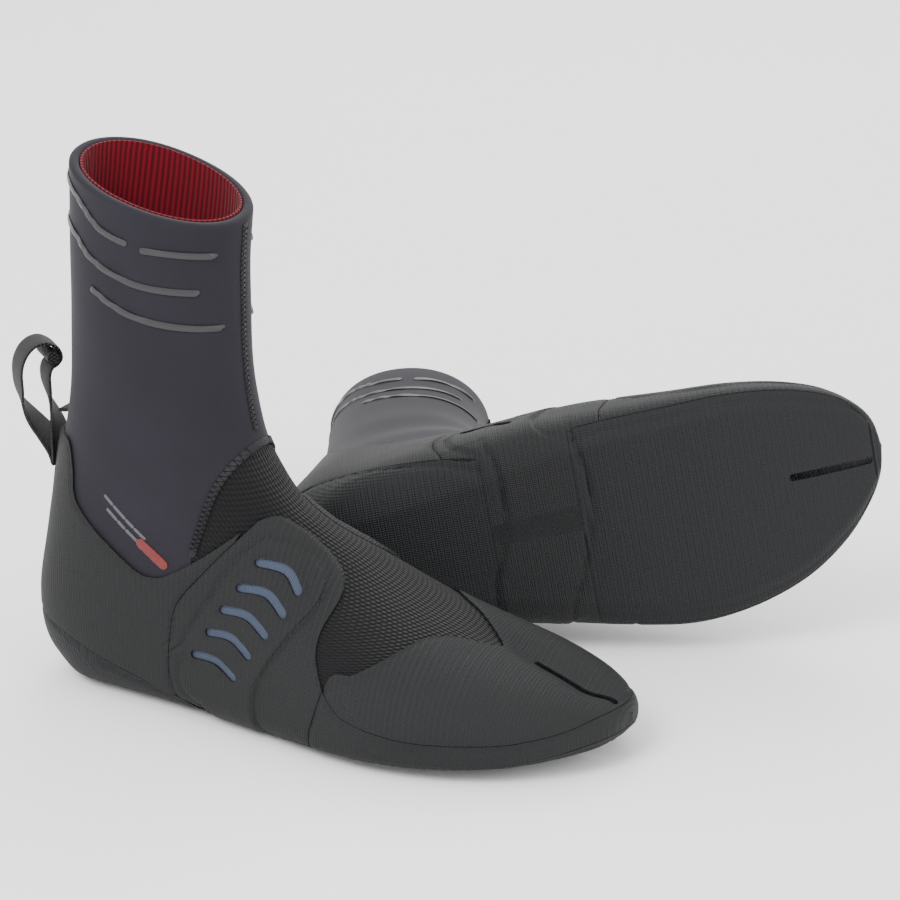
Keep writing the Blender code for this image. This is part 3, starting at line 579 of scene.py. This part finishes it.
toe_start = INSTEP_SPLIT + 2 * JOINT_GAP
toe_outline = [(toe_start, -20), (310, -20), (310, 80), (toe_start, 80)]
mesh = trimmed(foot_sheet(), keep=[prism(toe_outline), above_feather],
               cut=[prism(slit(SHEET_SLIT), plan=True)])
put_on("toe_panel", mesh, knit, ["toe_box"])
below_feather = prism([(x, z - 2 * JOINT_GAP) for x, z in feather] + [(310, -30), (-30, -30)])
mesh = trimmed(foot_sheet(), keep=[below_feather], cut=[prism(slit(SHEET_SLIT), plan=True)])
put_on("underfoot_panel", mesh, neoprene, ["foot_bed"])

# ---------------------------------------------------------------- rubber skin
# Liquid rubber is cast over the foot: heel cup, toe cap, rand and two sole pieces, edge to edge. It is
# charcoal and satin, with fine ribs and a sanded grain that the mould leaves, and thinned edges.
SKIN_IN = 0.3
SKIN_OUT = 1.8
EDGE_THINNING, SOLE_THINNING, EDGE_REACH = 0.75, 0.7, 2.2


def rubber_finish(name, ribs_mm, planar, light, dark):
    """Moulded rubber with ribs across the boot and a fine cross grain between them."""
    made, tree, surface = shader(name, 0.62, Specular_IOR_Level=0.24)
    where = add(tree, "ShaderNodeAttribute", attribute_name="boot")
    flat = add(tree, "ShaderNodeSeparateXYZ", {"Vector": where.outputs["Vector"]})
    cloth = add(tree, "ShaderNodeUVMap", uv_map="cloth")
    turn = add(tree, "ShaderNodeSeparateXYZ", {"Vector": cloth.outputs["UV"]})
    second = flat.outputs["Y"] if planar else turn.outputs["X"]
    one = add(tree, "ShaderNodeMath", {0: flat.outputs["X"], 1: second}, operation="ADD")
    two = add(tree, "ShaderNodeMath", {0: flat.outputs["X"], 1: second}, operation="SUBTRACT")
    waves = []
    for part, pitch in ((flat.outputs["X"], ribs_mm), (one.outputs[0], ribs_mm * 1.3),
                        (two.outputs[0], ribs_mm * 1.3)):
        phase = add(tree, "ShaderNodeMath", {0: part, 1: 2000 * math.pi / pitch}, operation="MULTIPLY")
        waves.append(add(tree, "ShaderNodeMath", {0: phase.outputs[0]}, operation="SINE"))
    lattice = add(tree, "ShaderNodeMath", {0: waves[1].outputs[0], 1: waves[2].outputs[0]},
                  operation="MULTIPLY")
    relief = add(tree, "ShaderNodeMath", {0: waves[0].outputs[0], 1: 0.6, 2: lattice.outputs[0]},
                 operation="MULTIPLY_ADD")
    grain = add(tree, "ShaderNodeTexNoise", {"Vector": where.outputs["Vector"], "Scale": 900.0,
                                             "Detail": 2.0})
    height = add(tree, "ShaderNodeMath", {0: grain.outputs["Fac"], 1: 1.2, 2: relief.outputs[0]},
                 operation="MULTIPLY_ADD")
    patch = add(tree, "ShaderNodeTexNoise", {"Vector": where.outputs["Vector"], "Scale": 16.0, "Detail": 5.0})
    shade = add(tree, "ShaderNodeMath", {0: relief.outputs[0], 1: 0.12, 2: patch.outputs["Fac"]},
                operation="MULTIPLY_ADD")
    cover(tree, surface, shade.outputs[0], dark, light)
    rough = add(tree, "ShaderNodeMapRange", {"Value": patch.outputs["Fac"], "To Min": 0.55, "To Max": 0.72})
    tree.links.new(rough.outputs["Result"], surface.inputs["Roughness"])
    emboss(tree, surface, height.outputs[0], 0.5, 0.3)
    return made


# The mould's ribs are about 0.8 mm apart and are drawn at 1.5 mm so that they show.
upper_rubber = rubber_finish("ribbed_liquid_rubber", 1.5, False, "#1a1b1c", "#101112")
sole_rubber = rubber_finish("sanded_sole_rubber", 1.7, True, "#18191b", "#0f1011")

SOLE_LINE = [(-20, 38), (5, 30), (30, 20), (60, 11), (80, 6), (97, 1.5), (140, 1.5), (156, 1.5), (184, 2),
             (214, 3.3), (242, 5.3), (263, 8.5), (277, 11.7), (300, 17)]
HEEL_TOP = [(-20, 119), (10, 119), (19, 117.5), (22.5, 107), (24, 95), (30, 87), (44, 75.5), (58, 65),
            (66, 62.5), (75, 64.5), (92, 75), (108, 87.4)]
CREASE = [(80, 6), (76, 20), (77, 40), (80, 52), (91, 66), (108, 85.2), (114, 92)]
RAND_TOP = [(150, 46), (163, 30), (172, 22), (181, 19), (194, 17), (211, 15.5), (243, 16), (257, 17.5),
            (270, 20), (280, 23), (300, 25)]
WING_FRONT = [(163, 30), (160, 20), (157, 10), (156, 1.5)]
CAP_EDGE = [(163.5, -70), (164.5, -52), (178, -50), (188, -45), (196, -36), (201.6, -27), (208.6, -20),
            (218, -14), (226, -9), (228, -2), (223.6, 4), (212, 11.5), (200, 19.5), (192, 27),
            (184, 37), (176, 45), (165, 50), (163.5, 70)]
BAND_BACK = 97.0
BAND_FRONT = 140.0
sole_line = curve_through(SOLE_LINE)
heel_top = curve_through(HEEL_TOP)
crease_line = curve_through(CREASE)
rand_top = curve_through(RAND_TOP)
wing_front = curve_through(WING_FRONT)
cap_edge = curve_through(CAP_EDGE)
flat_base = side_view(BASE)
plan_base = BASE[..., :2]
on_skin = {"heel_top": far_from(flat_base, heel_top), "crease": far_from(flat_base, crease_line),
           "sole": far_from(flat_base, sole_line), "rand": far_from(flat_base, rand_top),
           "wing": far_from(flat_base, wing_front), "cap": far_from(plan_base, cap_edge)}
first_foot = len(STEPS) - len(foot_steps)


def rubber_sheet(distance, relief=0.0):
    """The cast skin, thinned near the lines that bound it, with any relief under the foot."""
    drop = edge_drop(distance, EDGE_THINNING, EDGE_REACH)
    out = (SKIN_OUT - drop)[first_foot:]
    sole = (SOLE_DROP - np.minimum(drop, SOLE_THINNING) + relief)[first_foot:]
    return shell(loft(out, sole, foot_steps), loft(SKIN_IN, SKIN_IN, foot_steps))


above_sole = prism(beside(sole_line, JOINT_GAP) + [(300, FAR), (-20, FAR)])
below_sole = prism(beside(sole_line, -JOINT_GAP) + [(300, -30), (-20, -30)])
slit_hole = prism(slit(SKIN_SLIT), plan=True)

heel_edges = np.minimum(np.minimum(on_skin["heel_top"], on_skin["crease"]), on_skin["sole"])
# The crease line runs on past the heel's top edge, and that last stretch is left out here.
heel_outline = heel_top + beside(crease_line, JOINT_GAP)[:-7][::-1] + [(80, -20), (-20, -20)]
mesh = trimmed(rubber_sheet(heel_edges), keep=[prism(heel_outline), above_sole])
put_on("heel_counter", mesh, upper_rubber, ["heel_cup"])

rand_edges = np.minimum(np.minimum(on_skin["rand"], on_skin["sole"]), on_skin["wing"])
rand_outline = (beside(rand_top, -JOINT_GAP)[6:] + [(310, 25), (310, -20), (156.2, -20)]
                + beside(wing_front, JOINT_GAP)[::-1])
mesh = trimmed(rubber_sheet(rand_edges), keep=[prism(rand_outline), above_sole])
put_on("rand_strip", mesh, upper_rubber, ["rand"])

cap_edges = np.minimum(on_skin["rand"], np.where(BASE[..., 2] > 12, on_skin["cap"], 99))
cap_outline = beside(rand_top, JOINT_GAP) + [(310, 25), (310, FAR), (150, FAR)]
cap_plan = cap_edge + [(310, 70), (310, -70)]
mesh = trimmed(rubber_sheet(cap_edges), keep=[prism(cap_plan, plan=True), prism(cap_outline)],
               cut=[slit_hole])
put_on("toe_guard", mesh, upper_rubber, ["toe_cap"])

heel_zone = prism([(-30, -30), (BAND_BACK - JOINT_GAP, -30), (BAND_BACK - JOINT_GAP, 60), (-30, 60)])
fore_zone = prism([(BAND_FRONT + JOINT_GAP, -30), (310, -30), (310, 60), (BAND_FRONT + JOINT_GAP, 60)])
# The arch wrap's edges under the foot are curved. A groove runs along each, and the band between them
# stands a little proud of the two sole pieces.
ARCH_PROUD = 0.55
ARCH_REAR = [(93, -60), (94, -21), (97.5, -12), (104, 9), (105, 24), (104, 37), (100, 46), (97, 60)]
ARCH_FRONT = [(122, -60), (129, -35), (134, -25), (141, -6), (145, 11), (145.6, 25), (143, 38), (141, 50),
              (140, 60)]
rear_distance = far_from(plan_base, curve_through(ARCH_REAR))
front_distance = far_from(plan_base, curve_through(ARCH_FRONT))
arch_relief = (-1.1 * np.exp(-(rear_distance / 1.5) ** 2) - 1.0 * np.exp(-(front_distance / 1.5) ** 2))
arch_relief = np.where(BASE[..., 2] < 12, arch_relief, 0)
arch_relief -= np.where(within(plan_base, ARCH_REAR[::-1] + ARCH_FRONT), 0, ARCH_PROUD) * (BASE[..., 2] < 12)
mesh = trimmed(rubber_sheet(on_skin["sole"], arch_relief), keep=[below_sole, heel_zone])
put_on("heel_sole", mesh, sole_rubber, ["outsole_heel"])
mesh = trimmed(rubber_sheet(on_skin["sole"], arch_relief), keep=[below_sole, fore_zone], cut=[slit_hole])
put_on("forefoot_sole", mesh, sole_rubber, ["outsole_forefoot"])

# The wall between the toes is the form's own solid, kept inside a slightly larger slit.
mesh = trimmed(whole(loft(0.9, 2.0, foot_steps)), keep=[prism(slit(WALL_SLIT), plan=True)], cut=[slit_hole])
put_on("cleft_wall", mesh, sole_rubber, ["toe_split_wall"])

# ---------------------------------------------------------------- arch wrap and its inlays
# A second cast of rubber wraps under the arch. On each side it rises to a thicker pad with five
# bent slots, and a woven blue-grey inlay shows at the bottom of each slot.
PAD_RISE = 0.9
SLOT_WIDTH = 4.0
WING_TOP = [(114, 92), (119, 93.5), (125, 91.5), (136, 85.5), (149, 78), (157, 72), (159.5, 65), (156, 53),
            (156.5, 43), (163, 30)]
PAD = [(97, 4), (84, 14), (82, 27), (84, 39), (98.5, 62), (113, 83), (122, 85), (141.5, 78), (150, 70),
       (149.5, 61), (139, 47), (127, 27), (125, 16), (128, 6), (140, 1)]
INLAY_EDGE = [(87, 22), (87, 33), (112, 75), (119, 80), (129, 79), (143, 71), (143, 62), (117, 20)]
SLOTS = [
    [(118, 75), (131, 73), (139.5, 66)],
    [(111, 63.5), (124.5, 63), (135, 56.5)],
    [(104, 53), (117, 52.5), (128, 46.5)],
    [(98, 42), (110, 42), (120.5, 36)],
    [(91, 30.5), (103, 30), (113, 24.5)],
]
pad_line = curve_through(PAD)
pad_outline = pad_line + [(140, -20), (97, -20)]
slot_lines = [curve_through(line, 5) for line in SLOTS]
pad_distance = far_from(flat_base, pad_line)
pad_height = np.where(within(flat_base, pad_outline), np.clip(pad_distance / 1.8, 0, 1), 0)
pad_height = pad_height * pad_height * (3 - 2 * pad_height)
groove = 0.45 * np.exp(-(pad_distance / 1.3) ** 2) * (BASE[..., 2] > 3)
slot_distance = np.min([far_from(flat_base, line) for line in slot_lines], axis=0) - SLOT_WIDTH / 2
wing_top = curve_through(WING_TOP)
wing_edges = np.minimum(np.minimum(far_from(flat_base, wing_top), on_skin["crease"]), on_skin["wing"])
out = (SKIN_OUT + PAD_RISE * pad_height - groove - edge_drop(wing_edges, EDGE_THINNING, EDGE_REACH)
       - 0.5 * np.exp(-(np.maximum(slot_distance, 0) / 0.9) ** 2))
sole_relief = SOLE_DROP + arch_relief
inlay_mask = within(flat_base, INLAY_EDGE)
under = np.where(inlay_mask, 0.95, SKIN_IN)
sheet = shell(loft(out[first_foot:], sole_relief[first_foot:], foot_steps),
              loft(under[first_foot:], SKIN_IN, foot_steps))
wing_outline = (wing_top[:-1] + beside(wing_front, -JOINT_GAP)[:-1] + [(155.8, 1.8), (140, 1.8), (140, -20),
                (97, -20), (97, 1.8), (80.2, 6.3)] + beside(crease_line, -JOINT_GAP)[1:-1])
mesh = trimmed(sheet, keep=[prism(wing_outline)], cut=[prism(band(line, SLOT_WIDTH)) for line in slot_lines])
put_on("arch_wrap", mesh, upper_rubber, ["saddle_wrap"])

inlay_cloth, tree, surface = shader("woven_slot_inlay", 0.6, Specular_IOR_Level=0.3)
cloth = add(tree, "ShaderNodeUVMap", uv_map="cloth")
split = add(tree, "ShaderNodeSeparateXYZ", {"Vector": cloth.outputs["UV"]})
waves = []
# The weave's threads are 0.5 mm apart and are drawn at 1 mm so that they show.
for part in ("X", "Y"):
    phase = add(tree, "ShaderNodeMath", {0: split.outputs[part], 1: 2000 * math.pi}, operation="MULTIPLY")
    waves.append(add(tree, "ShaderNodeMath", {0: phase.outputs[0]}, operation="SINE"))
weave = add(tree, "ShaderNodeMath", {0: waves[0].outputs[0], 1: waves[1].outputs[0]}, operation="MULTIPLY")
mix = add(tree, "ShaderNodeMapRange", {"Value": weave.outputs[0], "From Min": -1.0})
cover(tree, surface, mix.outputs["Result"], "#2b323f", "#4c566a")
emboss(tree, surface, weave.outputs[0], 0.6, 0.3)
for name, start, end in (("lateral", -FAR, 0.0), ("medial", 0.0, FAR)):
    sheet = shell(loft(0.85, steps=foot_steps), loft(SKIN_IN, steps=foot_steps))
    mesh = trimmed(sheet, keep=[prism(INLAY_EDGE, start, end)])
    put_on("inlay_cloth_" + name, mesh, inlay_cloth, ["slot_inlay_" + name])

# ---------------------------------------------------------------- cuff bars, badge and print
# Satin rubber bars are bonded round the cuff as a grip print, and a small red pill and plain grey
# dashes are printed above the heel. The print has a faint orange peel and is glossier than jersey.
BAR_WIDTH = 3.0
BARS = {
    "back": ([(-20, 243), (12, 242), (28, 235), (40, 225), (48, 221), (56, 218.5)], -FAR, FAR),
    "middle": ([(-20, 224), (12, 222), (26, 217), (35, 209.5), (48, 203.5), (64, 199), (86, 196.5)],
               -FAR, FAR),
    "high_lateral": ([(65, 216), (80, 214.5), (92, 213)], -FAR, 0.0),
    "high_medial": ([(65, 216), (80, 214.5), (92, 213)], 0.0, FAR),
    "low_lateral": ([(37, 194), (47, 189), (59, 184.5), (74, 181.5), (93, 179)], -FAR, 0.0),
    "low_medial": ([(37, 194), (47, 189), (59, 184.5), (74, 181.5), (93, 179)], 0.0, FAR),
}


def print_finish(name, light, dark, roughness):
    """Bonded rubber print with a faint orange-peel surface."""
    made, tree, surface = shader(name, roughness, Specular_IOR_Level=0.5)
    where = add(tree, "ShaderNodeAttribute", attribute_name="boot")
    peel = add(tree, "ShaderNodeTexNoise", {"Vector": where.outputs["Vector"], "Scale": 700.0, "Detail": 2.0})
    cover(tree, surface, peel.outputs["Fac"], dark, light)
    emboss(tree, surface, peel.outputs["Fac"], 0.2, 0.3)
    return made


bar_rubber = print_finish("satin_bonded_rubber", "#1f1e22", "#151418", 0.36)
red_print = print_finish("red_rubber_print", "#6c0f0f", "#500b0b", 0.45)
grey_print = print_finish("grey_ink_print", "#4c4a52", "#3a3840", 0.55)
BOND = 0.02
bar_steps = STEPS[STEPS <= 7.0]
flat_bars = flat_base[:len(bar_steps)]
for name, (line, start, end) in BARS.items():
    path = curve_through(line, 5)
    crown = np.clip(1 - (far_from(flat_bars, path) / (BAR_WIDTH / 2)) ** 2, 0, 1) * 0.75
    sheet = shell(loft(0.35 + crown, steps=bar_steps), loft(BOND, steps=bar_steps), closed_toe=False)
    mesh = trimmed(sheet, keep=[prism(band(path, BAR_WIDTH), start, end)])
    put_on("grip_bar_" + name, mesh, bar_rubber, ["cuff_bar_" + name], angle=60)

BADGE = [(61.5, 78), (72.5, 69)]
BADGE_WIDTH = 4.6
crown = np.clip(1 - (far_from(flat_bars, BADGE) / (BADGE_WIDTH / 2)) ** 2, 0, 1) * 0.7
sheet = shell(loft(0.3 + crown, steps=bar_steps), loft(BOND, steps=bar_steps), closed_toe=False)
mesh = trimmed(sheet, keep=[prism(band(BADGE, BADGE_WIDTH), -FAR, 0.0)])
put_on("red_pill", mesh, red_print, ["side_badge"], angle=60)

DASH_WIDTH, DASH_GAP = 1.5, 1.6
slant = (Vector(BADGE[1]) - Vector(BADGE[0])).normalized()
rise = Vector((-slant.y, slant.x))
for row, (along, up, lengths_mm) in enumerate(((-27.0, 3.2, (5, 7, 4, 6)), (-22.0, -0.6, (6, 4, 7))), 1):
    spot = Vector(BADGE[0]) + slant * along + rise * up
    for dash, length in enumerate(lengths_mm, 1):
        line = [tuple(spot), tuple(spot + slant * length)]
        sheet = shell(loft(0.22, steps=bar_steps), loft(BOND, steps=bar_steps), closed_toe=False)
        mesh = trimmed(sheet, keep=[prism(band(line, DASH_WIDTH), -FAR, 0.0)])
        put_on(f"printed_dash_{row}_{dash}", mesh, grey_print, [])
        spot = spot + slant * (length + DASH_GAP)

# ---------------------------------------------------------------- seams
# The shaft closes in a seam down its front, and a second seam joins it to the instep. Both are glued,
# then overlocked with black bonded nylon whose slanted stitches lie on a narrow flat ridge.
SEAM_WIDTH = 3.4
THREAD = 0.42
PITCH = 2.3
RIDGE_BASE, RIDGE_RISE, RIDGE_HALF = 0.25, 0.5, 2.2
STITCH_SIDE, STITCH_LIFT = 1.9, 0.65
nylon, tree, surface = shader("bonded_nylon_thread", 0.55, Specular_IOR_Level=0.3)
where = add(tree, "ShaderNodeAttribute", attribute_name="boot")
twist = add(tree, "ShaderNodeTexWave", {"Vector": where.outputs["Vector"], "Scale": 900.0, "Distortion": 2.0})
cover(tree, surface, twist.outputs["Fac"], "#060607", "#1c1c20")
emboss(tree, surface, twist.outputs["Fac"], 0.5, 0.3)



def tree_of(mesh):
    """A mesh that rays can be cast at, to lay stitches on it."""
    return BVHTree.FromPolygons([v.co for v in mesh.vertices], [p.vertices[:] for p in mesh.polygons])


foot_tree = tree_of(foot_sheet())
leg_tree = tree_of(shell(loft(0.0, steps=shaft_steps), loft(-2.0, steps=shaft_steps), closed_toe=False))


def tube(points, radius, sides=6):
    """A round thread through points, with its ends closed."""
    build = bmesh.new()
    rings = []
    for k, here in enumerate(points):
        run = (points[min(k + 1, len(points) - 1)] - points[max(k - 1, 0)]).normalized()
        first = run.orthogonal().normalized()
        second = run.cross(first)
        rings.append([build.verts.new(here + (first * math.cos(2 * math.pi * j / sides)
                                              + second * math.sin(2 * math.pi * j / sides)) * radius)
                      for j in range(sides)])
    for near, far in zip(rings, rings[1:]):
        for j in range(sides):
            build.faces.new((near[j], near[(j + 1) % sides], far[(j + 1) % sides], far[j]))
    build.faces.new(rings[0])
    build.faces.new(rings[-1])
    bmesh.ops.recalc_face_normals(build, faces=build.faces)
    mesh = bpy.data.meshes.new("thread")
    build.to_mesh(mesh)
    build.free()
    return mesh


def together(meshes):
    """Several meshes as one."""
    build = bmesh.new()
    for mesh in meshes:
        build.from_mesh(mesh)
    joined = bpy.data.meshes.new("joined")
    build.to_mesh(joined)
    build.free()
    return joined


seam_distance = far_from(flat_base, seam_line)[first_foot:]
ridge = RIDGE_BASE + np.clip(1 - (seam_distance / RIDGE_HALF) ** 2, 0, 1) * RIDGE_RISE
sheet = shell(loft(ridge, steps=foot_steps), loft(BOND, steps=foot_steps))
seam_path = [p for p in seam_line if 72 < p[1] < 128]
seam_mesh = trimmed(sheet, keep=[prism(band(seam_path, SEAM_WIDTH))])
stitches = []
for direction in (-1, 1):
    spots = np.array(curve_through(seam_path, 3))
    runs = np.concatenate([[0], np.cumsum(np.linalg.norm(np.diff(spots, axis=0), axis=1))])
    line = []
    for k, s in enumerate(np.arange(1.0, runs[-1] - 1.0, PITCH / 2)):
        x, z = (float(np.interp(s, runs, spots[:, j])) for j in (0, 1))
        nx, nz = (float(np.interp(s + 0.5, runs, spots[:, j])) for j in (0, 1))
        offset = STITCH_SIDE if k % 2 else -STITCH_SIDE
        norm = max(math.hypot(nx - x, nz - z), 1e-6)
        px, pz = x - (nz - z) / norm * offset, z + (nx - x) / norm * offset
        hit = foot_tree.ray_cast(Vector((px, direction * 150, pz)) * MM, Vector((0, -direction, 0)))
        if hit[0] is not None:
            outward = 1 if hit[1].y * direction > 0 else -1
            line.append(hit[0] + hit[1] * outward * STITCH_LIFT * MM)
    if len(line) > 2:
        stitches.append(tube(line, THREAD * MM))
mesh = together([seam_mesh, *stitches])
put_on("instep_overlock", mesh, nylon, ["instep_seam"], angle=60)

front_distance = np.abs(BASE[:len(shaft_steps), :, 1])
ridge = RIDGE_BASE + np.clip(1 - (front_distance / RIDGE_HALF) ** 2, 0, 1) * RIDGE_RISE
sheet = shell(loft(ridge, steps=shaft_steps), loft(BOND, steps=shaft_steps), closed_toe=False)
front_mesh = trimmed(sheet, keep=[prism([(60, 128), (160, 128), (160, 224.5), (60, 224.5)], -1.7, 1.7)])
line = []
for k, z in enumerate(np.arange(129, 224, PITCH / 2)):
    offset = STITCH_SIDE if k % 2 else -STITCH_SIDE
    hit = leg_tree.ray_cast(Vector((200, offset, z)) * MM, Vector((-1, 0, 0)))
    if hit[0] is not None:
        line.append(hit[0] + Vector((STITCH_LIFT * MM, 0, 0)))
mesh = together([front_mesh, tube(line, THREAD * MM)])
put_on("front_overlock", mesh, nylon, ["front_seam"], angle=60)

# ---------------------------------------------------------------- back stay
# A strip of the same rubber is bonded up the back of the heel, over the heel cup.
STAY = 1.2
sheet = shell(loft(SKIN_OUT + STAY, steps=bar_steps), loft(SKIN_OUT + BOND, steps=bar_steps),
              closed_toe=False)
stay_outline = [(-40, 30), (40, 30), (40, 117), (-40, 117)]
stay_plan = [(-60, -11), (45, -11), (45, 11), (-60, 11)]
mesh = trimmed(sheet, keep=[prism(stay_outline), prism(stay_plan, plan=True)])
put_on("heel_strip", mesh, upper_rubber, ["back_stay"])

# ---------------------------------------------------------------- pull loop
# A 16 mm polyester webbing strap is folded over a cord core for the finger, sewn into a loop and
# twisted outwards. Its lower end is sewn to the heel, and a short tab holds it to the shaft.
STRAP_WIDTH, STRAP_THICKNESS = 16.0, 1.6
TWIST_START, TWIST_END, TWIST_ANGLE = 106.0, 138.0, 48.0
LOOP_PATH = [(-2.6, 97), (-4.6, 102.5), (-9, 108.5), (-14, 115), (-18, 123), (-20.8, 131), (-22, 139),
             (-21.8, 146), (-19.5, 152), (-15.5, 156), (-10.5, 157.4), (-6, 155.8), (-3.2, 152.8),
             (-2.8, 149.3), (-4.8, 146.6), (-7.4, 145), (-8.7, 141), (-8.4, 135), (-7, 128),
             (-5.2, 121), (-3.4, 113), (-2.5, 106)]
webbing, tree, surface = shader("polyester_webbing", 0.6, Specular_IOR_Level=0.3)
cloth = add(tree, "ShaderNodeUVMap", uv_map="cloth")
split = add(tree, "ShaderNodeSeparateXYZ", {"Vector": cloth.outputs["UV"]})
waves = []
# The webbing's cords are 1.3 mm apart across the strap and 1.8 mm along it.
for part, pitch in (("X", 1.3), ("Y", 1.8)):
    phase = add(tree, "ShaderNodeMath", {0: split.outputs[part], 1: 2000 * math.pi / pitch},
                operation="MULTIPLY")
    waves.append(add(tree, "ShaderNodeMath", {0: phase.outputs[0]}, operation="SINE"))
weave = add(tree, "ShaderNodeMath", {0: waves[0].outputs[0], 1: waves[1].outputs[0]}, operation="MULTIPLY")
mix = add(tree, "ShaderNodeMapRange", {"Value": weave.outputs[0], "From Min": -1.0})
cover(tree, surface, mix.outputs["Result"], "#060607", "#17171a")
emboss(tree, surface, weave.outputs[0], 0.7, 0.4)


def loop_point(x, y, z):
    """A point of the loop, turned by its twist about the sewn root."""
    share = min(max((z - TWIST_START) / (TWIST_END - TWIST_START), 0.0), 1.0)
    angle = math.radians(TWIST_ANGLE) * share * share * (3 - 2 * share)
    along = x - LOOP_ROOT[0]
    return Vector((LOOP_ROOT[0] + along * math.cos(angle) - y * math.sin(angle),
                   along * math.sin(angle) + y * math.cos(angle), z)) * MM


def webbing_loop():
    """The closed strap, with rounded edges and a map along and across it."""
    path = np.array(curve_through(LOOP_PATH + LOOP_PATH[:1], 5)[:-1])
    count = len(path)
    travel = np.concatenate([[0], np.cumsum(np.linalg.norm(np.diff(path, axis=0), axis=1))])
    profile = []
    for k in range(9):
        v = -1 + 2 * k / 8
        profile.append((v * STRAP_WIDTH / 2, STRAP_THICKNESS / 2 * (1 - 0.35 * abs(v) ** 8)))
    profile = profile + [(v, -h) for v, h in profile[::-1]]
    build = bmesh.new()
    layer = build.loops.layers.uv.new("cloth")
    rings = []
    for k in range(count):
        run = path[(k + 1) % count] - path[k - 1]
        run = run / np.linalg.norm(run)
        normal = np.array([-run[1], run[0]])
        ring = []
        for v, h in profile:
            spot = path[k] + normal * h
            ring.append(build.verts.new(loop_point(spot[0], v, spot[1])))
        rings.append(ring)
    for k in range(count):
        near, far = rings[k], rings[(k + 1) % count]
        start, end = travel[k] * MM, (travel[k + 1] if k + 1 < count else travel[k] + 1.5) * MM
        for c in range(len(profile)):
            n = (c + 1) % len(profile)
            face = build.faces.new((near[c], near[n], far[n], far[c]))
            for corner, spot in zip(face.loops, ((profile[c][0], start), (profile[n][0], start),
                                                 (profile[n][0], end), (profile[c][0], end))):
                corner[layer].uv = (spot[0] * MM, spot[1])
    bmesh.ops.recalc_face_normals(build, faces=build.faces)
    mesh = bpy.data.meshes.new("webbing_loop")
    build.to_mesh(mesh)
    build.free()
    return mesh


put_on("webbing_loop", webbing_loop(), webbing, ["pull_loop"], body="loop", angle=50)
GRIP_CENTRE, GRIP_HALF, GRIP_RADIUS = (-7.1, 150.6), 9.6, 2.9
core = [loop_point(GRIP_CENTRE[0], v, GRIP_CENTRE[1]) for v in np.linspace(-GRIP_HALF, GRIP_HALF, 9)]
mesh = tube(core, GRIP_RADIUS * MM, sides=24)
put_on("finger_core", mesh, webbing, ["pull_loop_grip"], body="loop")
tab = trimmed(prism(band([(0.9, 124), (4.2, 124.4)], 1.8), -5.0, 5.0))
put_on("loop_tab", tab, webbing, ["loop_anchor"])
